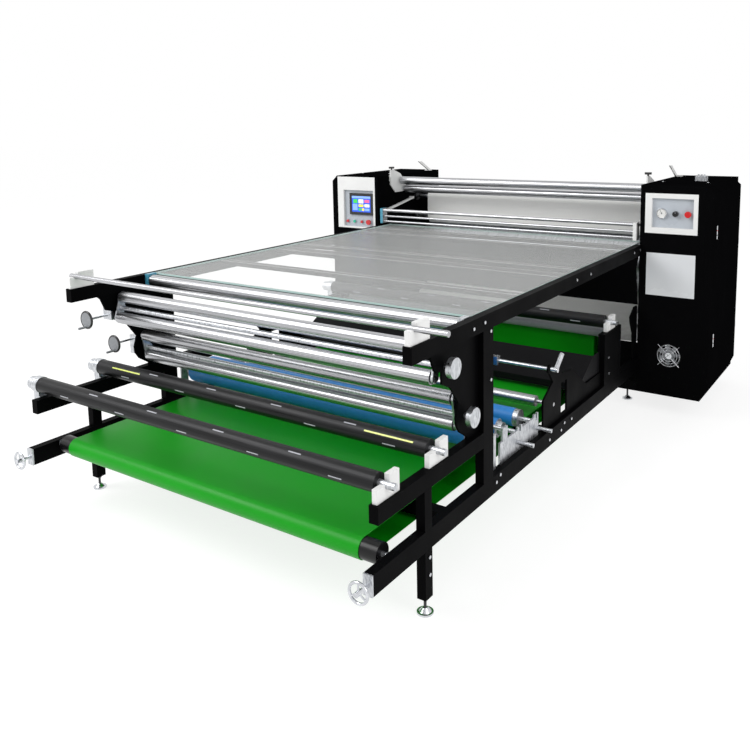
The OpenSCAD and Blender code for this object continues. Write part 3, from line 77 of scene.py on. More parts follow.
# Air shafts, in millimetres: ends and radius of the tube, and its slots
SHAFT_LEFT, SHAFT_RIGHT, SHAFT_RADIUS = -1034, 975, 38
SLOT_LENGTH, SLOT_WIDTH = 62, 6
FIRST_ROW_TURN, TAPE_TURN = math.radians(31), math.radians(52)
# Tapes on the second shaft: middle and length
TAPES = {"second": ((-805, 215), (800, 233))}
# Screen, gauge and knob, in millimetres: across, up, and from front to back as stations
SCREEN_X, SCREEN_Z, SCREEN_D = (-1278, -1056), (1150, 1318), (2941, 2954.8)
SCREEN_RIM = 22
GAUGE_X, GAUGE_Z, GAUGE_D = 1134, 1278, (2939, 2954.8)
KNOB_X, KNOB_Z = 1218, 1278
SLOT_OF = {s["node"]: s["material_slot"] for s in frame["record"]["subparts"]}
BODY_OF = {n: b for b, nodes in frame["record"]["behaviour"]["bodies"].items() for n in nodes}
# Front edge and width of the bars under the glass, as stations in millimetres, half their length, and the
# width of the bright line along each edge, which is a painted highlight
CROSS_BARS = ((1265, 50), (1751, 103), (1985, 50), (2660, 50), (2870, 50))
CROSS_BAR_HALF = 979
HIGHLIGHT_EDGE, HIGHLIGHT_FRONT, HIGHLIGHT_BACK = 0.2, 4.2, 3.2
HIGHLIGHT_TOP, HIGHLIGHT_LOW = 0.08, 0.6

finishes = {}


def at(station_mm):
    """The Y of a station in millimetres."""
    return RAIL_FRONT + station_mm * MM


# Materials


def linear(colour):
    """An sRGB hex colour as linear RGBA."""
    shares = [int(colour[i : i + 2], 16) / 255 for i in (1, 3, 5)]
    return [s / 12.92 if s <= 0.04045 else ((s + 0.055) / 1.055) ** 2.4 for s in shares] + [1.0]


def add(tree, kind, inputs=None, **settings):
    """Adds a node with its settings; inputs holds values and the sockets to link."""
    node = tree.nodes.new(kind)
    for name, value in settings.items():
        setattr(node, name, value)
    for name, value in (inputs or {}).items():
        if isinstance(value, bpy.types.NodeSocket):
            tree.links.new(value, node.inputs[name])
        else:
            node.inputs[name].default_value = value
    return node


def grain(tree, size_mm, stretch=(1, 1, 1), detail=2.0):
    """Noise whose features are size_mm wide, drawn out where stretch is over 1."""
    place = add(tree, "ShaderNodeTexCoord")
    scaled = add(tree, "ShaderNodeMapping", {"Vector": place.outputs["Object"],
                                             "Scale": [1 / s for s in stretch]})
    return add(tree, "ShaderNodeTexNoise", {"Vector": scaled.outputs["Vector"], "Scale": 1 / (size_mm * MM),
                                            "Detail": detail}).outputs["Fac"]


def spread(tree, value, low, high):
    """A noise value stretched over low to high."""
    return add(tree, "ShaderNodeMapRange", {"Value": value, "From Min": 0.3, "From Max": 0.7, "To Min": low,
                                            "To Max": high}).outputs["Result"]


def tint(tree, value, dark, light):
    """A colour between two hex colours."""
    return add(tree, "ShaderNodeMix", {"Factor": value, 6: linear(dark), 7: linear(light)},
               data_type="RGBA").outputs[2]


def relief(tree, height, depth_mm):
    """A normal from a height of that depth."""
    return add(tree, "ShaderNodeBump", {"Height": height, "Distance": depth_mm * MM,
                                        "Strength": 1.0}).outputs["Normal"]


def surface(name, **inputs):
    """A material with one Principled shader, whose sockets inputs sets by name with _ for a space."""
    finish = bpy.data.materials.new(name)
    finish.use_nodes = True
    tree = finish.node_tree
    tree.nodes.clear()
    shader = add(tree, "ShaderNodeBsdfPrincipled", {k.replace("_", " "): v for k, v in inputs.items()})
    out = add(tree, "ShaderNodeOutputMaterial", {"Surface": shader.outputs["BSDF"]})
    finishes[name] = finish
    return tree, shader, out


def wire(tree, shader, **sockets):
    """Links sockets into a shader by name, with _ for a space."""
    for name, socket in sockets.items():
        tree.links.new(socket, shader.inputs[name.replace("_", " ")])


def seen_by_eye(tree):
    """1 where a camera, glossy or transmitted ray arrives, else 0."""
    ray = add(tree, "ShaderNodeLightPath")
    seen = ray.outputs["Is Camera Ray"]
    for kind in ("Is Glossy Ray", "Is Transmission Ray"):
        seen = add(tree, "ShaderNodeMath", {0: seen, 1: ray.outputs[kind]}, operation="MAXIMUM").outputs[0]
    return seen


def powder_coat(name, dark, light, rough, cell_mm, depth_mm, level=0.3):
    """Baked powder coat: a fine orange peel, a little uneven in gloss. The real peel is 0.3 to 1 mm wide
    and is drawn coarser so that it shows."""
    tree, shader, _ = surface(name, Specular_IOR_Level=level)
    cloudy = grain(tree, 180, detail=3)
    wire(tree, shader, Base_Color=tint(tree, cloudy, dark, light),
         Roughness=spread(tree, cloudy, rough - 0.06, rough + 0.06),
         Normal=relief(tree, grain(tree, cell_mm), depth_mm))


def machined(name, dark, light, rough, marks, size_mm, depth_mm=0.02, metal=1.0):
    """Bare or plated metal with tool marks drawn out along marks. On hard chrome the light and dark streaks
    along the tube are a painted reflection, not tool marks.
    """
    tree, shader, _ = surface(name, Metallic=metal)
    marks_and_painted_reflection = grain(tree, size_mm, marks, detail=3)
    wire(tree, shader, Base_Color=tint(tree, spread(tree, marks_and_painted_reflection, 0, 1), dark, light),
         Roughness=spread(tree, marks_and_painted_reflection, rough * 0.7, rough * 1.3), Normal=relief(tree, marks_and_painted_reflection, depth_mm))


def moulded(name, dark, light, rough, level=0.5, coat=0.0):
    """Moulded plastic or rubber with a soft mottle."""
    tree, shader, _ = surface(name, Specular_IOR_Level=level, Coat_Weight=coat, Coat_Roughness=0.08)
    cloudy = grain(tree, 25, detail=3)
    wire(tree, shader, Base_Color=tint(tree, cloudy, dark, light),
         Roughness=spread(tree, cloudy, rough - 0.05, rough + 0.05),
         Normal=relief(tree, grain(tree, 3), 0.03))


def make_finishes(colours):
    """All materials of the machine."""
    # Frame tubes: semi-gloss black powder coat, deep black with soft light along the edges
    powder_coat("powder_coated_steel", "#040405", "#070708", 0.5, 5, 0.04, 0.02)
    # Cabinet sheets: fine-textured black powder coat, duller than the tubes
    powder_coat("textured_powder_coat", "#070708", "#0B0B0C", 0.6, 4, 0.06, 0.0)
    # Product tray: satin charcoal powder coat
    powder_coat("satin_charcoal_coat", "#0E0E10", "#141416", 0.45, 6, 0.04, 0.06)
    # Panels, blocks and arms: gloss white stove enamel
    powder_coat("white_stove_enamel", "#E4E4E3", "#EFEFEE", 0.22, 9, 0.03, 0.5)
    # Clamps at the rod ends: blue-green enamel
    powder_coat("blue_green_enamel", "#3F8CA8", "#57A4BD", 0.28, 8, 0.03, 0.5)
    # Gear unit: grey-blue machine enamel
    powder_coat("grey_blue_enamel", "#414F5A", "#4D5D69", 0.35, 8, 0.05, 0.4)
    # Panel insets: silver-grey overlay film on sheet metal
    powder_coat("silver_overlay_film", "#AEB4BC", "#BFC5CC", 0.3, 12, 0.02, 0.5)
    # Plain plate: white-grey lacquered aluminium
    powder_coat("lacquered_aluminium", "#D6D8DB", "#E2E4E6", 0.25, 12, 0.02, 0.5)
    # Housings: sand-cast aluminium, faced by milling, in a broken bright grey
    machined("cast_aluminium", "#A6A9AE", "#DFE1E4", 0.36, (1, 1, 3), 7, 0.05)
    # Bolts and feet: zinc-plated steel
    machined("zinc_plated_steel", "#C2C4C8", "#DADCE0", 0.24, (1, 1, 1), 9)
    # Guide rollers: hard-chromed tube, drawn and polished; its light and dark streaks along the tube are a
    # painted reflection of the room round it
    machined("hard_chrome", "#8A8A8D", "#D6D7DA", 0.28, (400, 1, 1), 3, 0.003)
    # Handwheels, levers and guard wire: polished chrome
    machined("polished_chrome", "#BFC1C5", "#DADCE0", 0.12, (1, 1, 1), 20, 0.004)
    # Drum and blanket rollers: ground steel
    machined("ground_steel", "#9A9DA1", "#B9BCC0", 0.3, (1, 40, 40), 10, 0.01)
    # Air shafts: black anodised aluminium
    machined("black_anodised_aluminium", "#0C0C0D", "#202022", 0.42, (60, 1, 1), 5, 0.02, 0.6)
    # Belt rollers: black baked enamel
    powder_coat("black_roller_enamel", "#08080A", "#101012", 0.32, 8, 0.03, 0.3)
    # Blue rollers: soft polyurethane sleeve, ground, with a broad sheen
    moulded("blue_polyurethane", "#2A80CC", "#378FDA", 0.4, 0.35)
    # Lay-on roller: light grey rubber
    moulded("grey_rubber", "#9B9DA1", "#ADAFB3", 0.5, 0.4)
    # Buttons and knobs: glossy moulded ABS
    moulded("red_abs", "#C20F15", "#D3191E", 0.22, 0.5, 0.4)
    moulded("green_abs", "#17B58F", "#24C9A3", 0.22, 0.5, 0.4)
    moulded("black_abs", "#0C0C0D", "#151516", 0.3, 0.5, 0.2)
    moulded("grey_abs", "#7E8185", "#94979B", 0.4, 0.5)
    # Strips in the air shafts: pale grey rubber, and reflective yellow tape
    moulded("grey_rubber_strip", "#A9ABB2", "#BCBDC4", 0.5, 0.4)
    moulded("yellow_reflective_tape", "#D3DF53", "#E4EE72", 0.3, 0.6, 0.3)
    # Collecting belt: smooth green PVC with a calendered, half-gloss face
    tree, shader, _ = surface("green_pvc_belt", Specular_IOR_Level=0.22)
    cloudy = grain(tree, 260, detail=3)
    wire(tree, shader, Base_Color=tint(tree, cloudy, colours.belt_dark, colours.belt_light),
         Roughness=spread(tree, cloudy, 0.36, 0.44), Normal=relief(tree, grain(tree, 6), 0.03))
    # Blanket: needled white felt, matt and faintly fibrous. Fibres are 0.02 mm and are drawn 4 mm wide
    tree, shader, _ = surface("needled_felt", Roughness=0.95, Sheen_Weight=0.25, Sheen_Roughness=0.5,
                              Specular_IOR_Level=0.1)
    fibres = grain(tree, 4, (3, 1, 1), detail=5)
    wire(tree, shader, Base_Color=tint(tree, fibres, "#F4F4F2", colours.felt),
         Normal=relief(tree, fibres, 0.4))
    # Table top: clear float glass. A pale haze stands for the room that its faces mirror: black below
    # looks grey, and the haze grows where the eye skims the face
    tree, shader, _ = surface("float_glass", Base_Color=linear("#F6F8F7"), Roughness=0.3,
                              Specular_IOR_Level=0.3)
    skim = add(tree, "ShaderNodeLayerWeight", {"Blend": 0.35})
    haze = add(tree, "ShaderNodeMapRange", {"Value": skim.outputs["Facing"], "From Min": 0.2,
                                            "From Max": 0.85, "To Min": 0.1, "To Max": 0.28})
    wire(tree, shader, Alpha=haze.outputs["Result"])
    # Ground edge of the table top: pale green, where the iron of the glass shows
    surface("ground_glass_edge", Base_Color=linear("#C3E0DA"), Roughness=0.25, Alpha=0.9)
    # Screen: dark glass, and the lit colours of its tiles
    surface("dark_screen_glass", Base_Color=linear("#0B0D12"), Roughness=0.08)
    for name, colour in (("lit_blue", "#2A57D8"), ("lit_sky", "#7FA6F2"), ("lit_green", "#3FC14B"),
                         ("lit_yellow", "#E9D94A"), ("lit_pink", "#E0608F"), ("lit_white", "#E9EEF8")):
        tree, shader, _ = surface(name, Roughness=0.12, Emission_Strength=0.55,
                                  Emission_Color=linear(colour))
        wire(tree, shader, Base_Color=tint(tree, grain(tree, 6), colour, colour))
    # Gauge dial: white enamel, with printed black marks
    surface("white_dial_enamel", Base_Color=linear("#F3F3F1"), Roughness=0.3)
    surface("black_print", Base_Color=linear("#101010"), Roughness=0.4)
    # Gauge cover: clear acrylic
    tree, shader, out = surface("clear_acrylic", Roughness=0.02, IOR=1.49, Transmission_Weight=1.0)
    ray = add(tree, "ShaderNodeLightPath")
    clear = add(tree, "ShaderNodeBsdfTransparent")
    both = add(tree, "ShaderNodeMixShader", {0: ray.outputs["Is Shadow Ray"], 1: shader.outputs["BSDF"],
                                             2: clear.outputs["BSDF"]})
    tree.links.new(both.outputs["Shader"], out.inputs["Surface"])


# Modelling


def only(piece):
    """Selects one object and makes it active."""
    bpy.ops.object.select_all(action="DESELECT")
    piece.hide_set(False)
    piece.select_set(True)
    bpy.context.view_layer.objects.active = piece


def pick(piece, test):
    """In edit mode, selects the faces for which test(centre, normal) is true."""
    mesh = bmesh.from_edit_mesh(piece.data)
    for part in (*mesh.verts, *mesh.edges, *mesh.faces):
        part.select_set(False)
    for face in mesh.faces:
        if test(face.calc_center_median(), face.normal):
            face.select_set(True)
    mesh.select_flush_mode()
    bmesh.update_edit_mesh(piece.data)


def islands(piece):
    """The lowest and highest corner of the loose part that each face belongs to."""
    mesh = bmesh.new()
    mesh.from_mesh(piece.data)
    mesh.faces.ensure_lookup_table()
    corners, seen = {}, set()
    for first in mesh.faces:
        if first.index in seen:
            continue
        group, queue = [], [first]
        seen.add(first.index)
        while queue:
            face = queue.pop()
            group.append(face)
            for vert in face.verts:
                for other in vert.link_faces:
                    if other.index not in seen:
                        seen.add(other.index)
                        queue.append(other)
        points = [v.co for f in group for v in f.verts]
        low = [min(p[i] for p in points) for i in range(3)]
        high = [max(p[i] for p in points) for i in range(3)]
        for face in group:
            corners[face.index] = (low, high)
    mesh.free()
    return corners


def paint(piece, base, zones):
    """Gives a piece its base finish, and others where a zone's test of face, loose part and normal is true.
    Tests get millimetres: x across, d along from the rails' front, z up."""
    def mm(p):
        return (p[0] / MM, (p[1] - RAIL_FRONT) / MM, p[2] / MM)

    piece.data.materials.clear()
    for name in [base] + [z[0] for z in zones]:
        piece.data.materials.append(finishes[name])
    if not zones:
        for face in piece.data.polygons:
            face.material_index = 0
        return
    corners = islands(piece)
    for face in piece.data.polygons:
        low, high = corners[face.index]
        face.material_index = 0
        for i, (_, test) in enumerate(zones):
            if test(mm(face.center), mm(low), mm(high), face.normal):
                face.material_index = i + 1


def round_edges(piece, width_mm):
    """Rounds the sharp edges and shades the rest smooth."""
    only(piece)
    if width_mm:
        bpy.ops.object.modifier_add(type="BEVEL")
        bevel = piece.modifiers[-1]
        bevel.width = width_mm * MM
        bevel.segments = BEVEL_SEGMENTS
        bevel.limit_method = "ANGLE"
        bevel.angle_limit = SHARP_TURN
        bevel.use_clamp_overlap = True
        bpy.ops.object.modifier_apply(modifier=bevel.name)
    bpy.ops.object.shade_smooth_by_angle(angle=SHARP_TURN)
    # Broad flat faces keep their own normal, so that they don't shade like pillows
    bpy.ops.object.modifier_add(type="WEIGHTED_NORMAL")
    piece.modifiers[-1].keep_sharp = True
    bpy.ops.object.modifier_apply(modifier=piece.modifiers[-1].name)


def settle(piece, name):
    """Names a piece and puts its place into its mesh."""
    only(piece)
    bpy.ops.object.transform_apply(location=True, rotation=True, scale=True)
    piece.name = piece.data.name = name
    return piece


def join(pieces, name):
    """Joins pieces into the first one."""
    bpy.ops.object.select_all(action="DESELECT")
    for piece in pieces:
        piece.select_set(True)
    bpy.context.view_layer.objects.active = pieces[0]
    if len(pieces) > 1:
        bpy.ops.object.join()
    pieces[0].name = pieces[0].data.name = name
    return pieces[0]


def place(piece, body, slot, *nodes):
    """Puts a finished piece on its body and hides the solids that it stands for."""
    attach(piece, body)
    for node in nodes:
        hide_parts(node)


def dressed(node, name, width_mm, base, zones=()):
    """A copy of a solid with merged corners, rounded edges and its finishes, in the solid's place."""
    only(frame["nodes"][node])
    bpy.ops.object.duplicate()
    piece = bpy.context.active_object
    for key in list(piece.keys()):
        if key.startswith("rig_"):
            del piece[key]
    piece.parent = None
    piece.name = piece.data.name = name
    bpy.ops.object.mode_set(mode="EDIT")
    bpy.ops.mesh.select_all(action="SELECT")
    bpy.ops.mesh.remove_doubles(threshold=0.00002)
    bpy.ops.mesh.dissolve_limited(angle_limit=math.radians(0.5))
    bpy.ops.object.mode_set(mode="OBJECT")
    bpy.ops.mesh.customdata_custom_splitnormals_clear()
    paint(piece, base, list(zones))
    round_edges(piece, width_mm)
    place(piece, BODY_OF[node], SLOT_OF[node], node)
    return piece


def slab(name, x, d, z, finish, width_mm=0.4):
    """A plate between pairs of millimetres, with rounded edges."""
    centre = [(x[0] + x[1]) / 2 * MM, (at(d[0]) + at(d[1])) / 2, (z[0] + z[1]) / 2 * MM]
    bpy.ops.object.select_all(action="DESELECT")
    bpy.ops.mesh.primitive_cube_add(size=1, location=centre)
    piece = bpy.context.active_object
    piece.scale = [(x[1] - x[0]) * MM, (d[1] - d[0]) * MM, (z[1] - z[0]) * MM]
    settle(piece, name)
    piece.data.materials.append(finishes[finish])
    round_edges(piece, width_mm)
    return piece


def disc(name, x, d, z, radius_mm, finish, vertices=48, width_mm=0.4):
    """A round piece along the machine, from d[0] to d[1]."""
    bpy.ops.object.select_all(action="DESELECT")
    bpy.ops.mesh.primitive_cylinder_add(vertices=vertices, radius=radius_mm * MM, depth=(d[1] - d[0]) * MM,
                                        location=[x * MM, (at(d[0]) + at(d[1])) / 2, z * MM],
                                        rotation=[math.pi / 2, 0, 0])
    piece = settle(bpy.context.active_object, name)
    piece.data.materials.append(finishes[finish])
    if width_mm:
        round_edges(piece, width_mm)
    return piece


def disc_across(name, x, d, z, radius_mm, finish, vertices=32, width_mm=0.3):
    """A round piece across the machine, from x[0] to x[1]."""
    bpy.ops.object.select_all(action="DESELECT")
    bpy.ops.mesh.primitive_cylinder_add(vertices=vertices, radius=radius_mm * MM, depth=(x[1] - x[0]) * MM,
                                        location=[(x[0] + x[1]) / 2 * MM, at(d), z * MM],
                                        rotation=[0, math.pi / 2, 0])
    piece = settle(bpy.context.active_object, name)
    piece.data.materials.append(finishes[finish])
    round_edges(piece, width_mm)
    return piece


def heading(a, b):
    """Angle of the straight run between two circles of (y, z, radius, side)."""
    dy, dz = b[0] - a[0], b[1] - a[1]
    share = (b[3] * b[2] - a[3] * a[2]) / math.hypot(dy, dz)
    return math.atan2(dz, dy) - math.asin(max(-1.0, min(1.0, share)))


def band_path(circles, grow):
    """Points of a band that runs over circles of (y, z, radius, side), grown outwards by grow."""
    rings = [(y, z, r + side * grow, side) for y, z, r, side in circles]
    points = []
    for i, (y, z, r, side) in enumerate(rings):
        start = heading(rings[i - 1], rings[i])
        turn = side * ((side * (heading(rings[i], rings[(i + 1) % len(rings)]) - start)) % (2 * math.pi))
        steps = max(3, math.ceil(abs(turn) / BAND_STEP))
        for j in range(steps + 1):
            h = start + turn * j / steps
            points.append((y + side * r * math.sin(h), z - side * r * math.cos(h)))
    return points


def band(name, circles, thick, width, finish):
    """A closed band of cloth over its rollers."""
    outer, inner = band_path(circles, thick), band_path(circles, 0)
    mesh = bmesh.new()
    rows = []
    half = width / 2
    edge = min(thick * 0.4, 0.002)
    for x, path in ((-half + edge, outer), (half - edge, outer), (half, None), (half - edge, inner),
                    (-half + edge, inner), (-half, None)):
        path = path or [((a[0] + b[0]) / 2, (a[1] + b[1]) / 2) for a, b in zip(outer, inner)]
        rows.append([mesh.verts.new((x, y, z)) for y, z in path])
    count = len(outer)
    for r in range(len(rows)):
        this, following = rows[r], rows[(r + 1) % len(rows)]
        for i in range(count):
            j = (i + 1) % count
            mesh.faces.new((this[i], this[j], following[j], following[i]))
    bmesh.ops.recalc_face_normals(mesh, faces=mesh.faces)
    data = bpy.data.meshes.new(name)
    mesh.to_mesh(data)
    mesh.free()
    piece = bpy.data.objects.new(name, data)
    bpy.context.scene.collection.objects.link(piece)
    data.materials.append(finishes[finish])
    only(piece)
    bpy.ops.object.shade_smooth_by_angle(angle=BAND_SHARP_TURN)
    length = sum(math.dist(a, b) for a, b in zip(outer, outer[1:] + outer[:1]))
    return piece, length


def axle(node):
    """Centre (y, z) of a round piece across the machine, and its radius."""
    low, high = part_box(node)
    return (low.y + high.y) / 2, (low.z + high.z) / 2, (high.z - low.z) / 2


# Sizes and colours


class HeatPressSizes(bpy.types.PropertyGroup):
    """Sizes and colours of the machine's looks."""
    frame_edge: FloatProperty(name="Frame edge", default=2.2, min=0.2, max=5,
                              description="Rounding of the frame tubes' edges in millimetres")
    belt_thick: FloatProperty(name="Belt thickness", description="Thickness of the collecting belt",
                              default=0.003, min=0.001, max=0.006, unit="LENGTH")
    felt_thick: FloatProperty(name="Felt thickness", description="Thickness of the felt blanket",
                              default=0.008, min=0.003, max=0.012, unit="LENGTH")
    band_gap: FloatProperty(name="Band gap", description="Gap between a roller and the band over it",
                            default=0.0004, min=0.0001, max=0.001, unit="LENGTH")
    strip_rows: IntProperty(name="Strip rows", description="Rows of strips round an air shaft",
                            default=5, min=3, max=8)
    strip_pitch: FloatProperty(name="Strip pitch", default=403, min=150, max=800,
                               description="Spacing of the strips of a row in millimetres")
    belt_dark: StringProperty(name="Belt shade", description="Darker green of the belt", default="#089310")
    belt_light: StringProperty(name="Belt colour", description="Lighter green of the belt",
                               default="#0CA014")
    felt: StringProperty(name="Felt colour", description="Colour of the blanket", default="#FFFFFD")


class HeatPressStudio(bpy.types.PropertyGroup):
    """Floor, light and camera."""
    floor_colour: StringProperty(name="Floor", description="Colour of the floor", default="#FFFFFF")
    floor_size: FloatProperty(name="Floor size", description="Side of the floor", default=120,
                              unit="LENGTH")
    ambient: FloatProperty(name="Ambient", description="Light of the surroundings on the machine",
                           default=0.62)
    key_power: FloatProperty(name="Key light", description="Power of the large lamp over the front",
                             default=300, subtype="POWER")
    fill_power: FloatProperty(name="Fill light", description="Power of the lamp on the right", default=90,
                              subtype="POWER")
    lens: FloatProperty(name="Lens", description="Focal length in millimetres", default=38.395)


# Operators


class HEATPRESS_OT_stage(bpy.types.Operator):
    """Adds the floor, the light and the camera"""
    bl_idname = "heatpress.stage"
    bl_label = "Stage"

    def execute(self, context):
        studio = context.scene.heat_press_studio
        bpy.ops.object.select_all(action="DESELECT")
        bpy.ops.mesh.primitive_plane_add(size=studio.floor_size, location=(0, 0, -0.0005))
        floor = settle(context.active_object, "studio_floor")
        # Paper floor, half lit from itself so that it is white where no shadow falls
        tree, shader, out = surface("white_paper_floor", Base_Color=linear(studio.floor_colour),
                                    Roughness=0.9, Specular_IOR_Level=0.0)
        share = add(tree, "ShaderNodeMath", {0: seen_by_eye(tree), 1: 0.7}, operation="MULTIPLY")
        lit = add(tree, "ShaderNodeEmission", {"Color": linear(studio.floor_colour), "Strength": 1.16})
        both = add(tree, "ShaderNodeMixShader", {0: share.outputs[0], 1: shader.outputs["BSDF"],
                                                 2: lit.outputs["Emission"]})
        tree.links.new(both.outputs["Shader"], out.inputs["Surface"])
        floor.data.materials.append(finishes["white_paper_floor"])

        world = bpy.data.worlds.new("studio_world")
        context.scene.world = world
        world.use_nodes = True
        tree = world.node_tree
        tree.nodes.clear()
        strength = add(tree, "ShaderNodeMapRange", {"Value": seen_by_eye(tree), "To Min": studio.ambient,
                                                    "To Max": 1.0})
        glow = add(tree, "ShaderNodeBackground", {"Color": (1, 1, 1, 1),
                                                  "Strength": strength.outputs["Result"]})
        add(tree, "ShaderNodeOutputWorld", {"Surface": glow.outputs["Background"]})

        for name, power, size, spot, aim in (
                ("key_light", studio.key_power, 4.0, (-3.5, -4.5, 5.5), (0, 0, 0.5)),
                ("fill_light", studio.fill_power, 3.0, (5.5, -2.0, 3.2), (0.4, 0.5, 0.6))):
            bpy.ops.object.light_add(type="AREA", location=spot)
            lamp = context.active_object
            lamp.name = name
            lamp.data.energy = power
            lamp.data.size = size
            lamp.rotation_euler = (Vector(aim) - Vector(spot)).to_track_quat("-Z", "Y").to_euler()

        # Camera: turned 34.25 degrees from the machine's length, 7.9 down, 1 degree of roll
        yaw, pitch, roll = (math.radians(a) for a in (34.254, 7.899, -0.9952))
        right = Vector((math.cos(yaw), math.sin(yaw), 0))
        forward = Vector((-math.sin(yaw) * math.cos(pitch), math.cos(yaw) * math.cos(pitch),
                          -math.sin(pitch)))
        up = right.cross(forward)
        side = right * math.cos(roll) + up * math.sin(roll)
        top = up * math.cos(roll) - right * math.sin(roll)
        bpy.ops.object.camera_add()
        camera = context.active_object
        camera.name = "photo_camera"
        place_of = (2.5151, -3.9997, 1.8742)
        rows = [(side[i], top[i], -forward[i], place_of[i]) for i in range(3)]
        camera.matrix_world = Matrix(rows + [(0, 0, 0, 1)])
        camera.data.sensor_width = 36
        camera.data.lens = studio.lens
        camera.data.shift_x = -0.02245
        camera.data.shift_y = -0.19125
        camera.data.dof.use_dof = False
        context.scene.camera = camera
        context.scene.view_settings.view_transform = "Standard"
        return {"FINISHED"}


class HEATPRESS_OT_frame(bpy.types.Operator):
    """Dresses the frame tubes, side plates, blocks, feet and bolts"""
    bl_idname = "heatpress.frame"
    bl_label = "Frame"

    def execute(self, context):
        sizes = context.scene.heat_press_sizes
        dressed("main_frame", "frame_tubes", sizes.frame_edge, "powder_coated_steel")
        dressed("side_plates", "side_plate_sheets", 1.0, "powder_coated_steel")
        dressed("front_guard", "front_guard_sheet", 0.8, "textured_powder_coat")
        dressed("product_tray", "product_tray_sheet", 0.6, "satin_charcoal_coat")
        dressed("table_bars", "table_bars_and_blocks", 1.2, "white_stove_enamel", [
            ("powder_coated_steel", lambda c, lo, hi, n: 900 < hi[0] < 981 and lo[0] < -900),
            ("hard_chrome", lambda c, lo, hi, n: hi[0] > 1000 and lo[0] < -1000)])
        # White strips along the cross bars' edges, which are a painted highlight
        self.painted_highlights()
        dressed("levelling_feet", "levelling_feet_turned", 0.8, "zinc_plated_steel",
                [("black_abs", lambda c, lo, hi, n: 24.5 < c[2])])
        dressed("roller_brackets", "blue_roller_brackets", 1.2, "cast_aluminium")
        dressed("bolts", "hexagon_bolts", 0.8, "zinc_plated_steel")
        dressed("glass_top", "glass_table_top", 1.0, "float_glass",
                [("ground_glass_edge", lambda c, lo, hi, n: abs(n.z) < 0.5)])
        return {"FINISHED"}

    def painted_highlights(self):
        """Painted highlights: thin white strips along the edges of the cross bars, just below the glass."""
        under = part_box("glass_top")[0].z / MM
        painted_highlights = []
        for front, wide in CROSS_BARS:
            for edges in ((front + HIGHLIGHT_EDGE, front + HIGHLIGHT_FRONT),
                          (front + wide - HIGHLIGHT_BACK, front + wide - HIGHLIGHT_EDGE)):
                # Each white strip is a painted highlight along a bar's edge
                painted_highlights.append(slab("painted_highlight_strip", (-CROSS_BAR_HALF, CROSS_BAR_HALF), edges,
                                  (under - HIGHLIGHT_LOW, under - HIGHLIGHT_TOP), "white_stove_enamel", 0))
        place(join(painted_highlights, "cross_bar_painted_highlights"), "frame", SLOT_OF["table_bars"])


class HEATPRESS_OT_housings(bpy.types.Operator):
    """Dresses the bearing housings, roll chucks and drum drive"""
    bl_idname = "heatpress.housings"
    bl_label = "Housings"

    def execute(self, context):
        dressed("bearing_housings", "bearing_housing_castings", 1.4, "cast_aluminium", [
            ("blue_green_enamel", lambda c, lo, hi, n: 1000 < lo[2] < 1060 and hi[1] < 800
             and -1000 < lo[0] < 0),
            ("black_abs", lambda c, lo, hi, n: lo[1] > 3200)])
        dressed("drum_drive", "drum_gear_unit", 1.5, "grey_blue_enamel")
        return {"FINISHED"}


class HEATPRESS_OT_cabinets(bpy.types.Operator):
    """Dresses the cabinets, their doors and the fan"""
    bl_idname = "heatpress.cabinets"
    bl_label = "Cabinets"

    def execute(self, context):
        hinge = ("zinc_plated_steel", lambda c, lo, hi, n: max(hi[i] - lo[i] for i in range(3)) < 100)
        dressed("cabinet_left", "cabinet_left_sheets", 0.9, "textured_powder_coat", [hinge])
        dressed("cabinet_right", "cabinet_right_sheets", 0.9, "textured_powder_coat", [hinge])
        for side, sign in (("left", -1), ("right", 1)):
            dressed(f"door_{side}", f"cabinet_door_{side}", 1.2, "textured_powder_coat", [
                ("polished_chrome", lambda c, lo, hi, n: abs(c[0]) > 1440.3),
                ("zinc_plated_steel", lambda c, lo, hi, n: c[1] > 3716.5)])
            marks = []
            for z in (448, 1125):
                x = sorted((sign * 1442, sign * 1443.2))
                marks.append(disc_across("latch_mark", x, 3046, z + 52, 4.2, "red_abs"))
                marks.append(disc_across("latch_key", x, 3046, z + 24, 3.4, "black_abs"))
            place(join(marks, f"door_latch_marks_{side}"), f"door_{side}", "red_plastic")
        dressed("fan_guard", "fan_guard_wires", 0, "black_abs",
                [("polished_chrome", lambda c, lo, hi, n: hi[1] < 2937.5)])
        dressed("fan_rotor", "fan_rotor_blades", 0.6, "grey_abs")
        return {"FINISHED"}


class HEATPRESS_OT_rollers(bpy.types.Operator):
    """Dresses the guide rollers, blanket rollers and the drum"""
    bl_idname = "heatpress.rollers"
    bl_label = "Rollers"

    def execute(self, context):
        for node in ("swing_front_top_roller", "swing_front_low_roller", "swing_rear_top_roller",
                     "swing_rear_low_roller", "table_front_roller", "lower_guide_roller",
                     "guide_roller_upper", "guide_roller_lower"):
            dressed(node, node + "_tube", 0.8, "hard_chrome")
        for node in ("drum", "nip_roller", "top_front_roller", "tension_roller", "lower_rear_roller",
                     "exit_roller"):
            dressed(node, node + "_shell", 0.8, "ground_steel")
        for node in ("belt_front_roller", "belt_rear_roller", "belt_top_roller"):
            dressed(node, node + "_shell", 0.8, "black_roller_enamel",
                    [("ground_steel", lambda c, lo, hi, n: abs(c[0]) > 948)])
        dressed("lay_on_roller", "lay_on_roller_sleeve", 0.8, "grey_rubber",
                [("ground_steel", lambda c, lo, hi, n: abs(c[0]) > 948)])
        for node in ("blue_roller_front", "blue_roller_second", "blue_roller_middle", "blue_roller_rear"):
            dressed(node, node + "_sleeve", 1.0, "blue_polyurethane",
                    [("cast_aluminium", lambda c, lo, hi, n: abs(c[0]) > 879.5)])
        return {"FINISHED"}


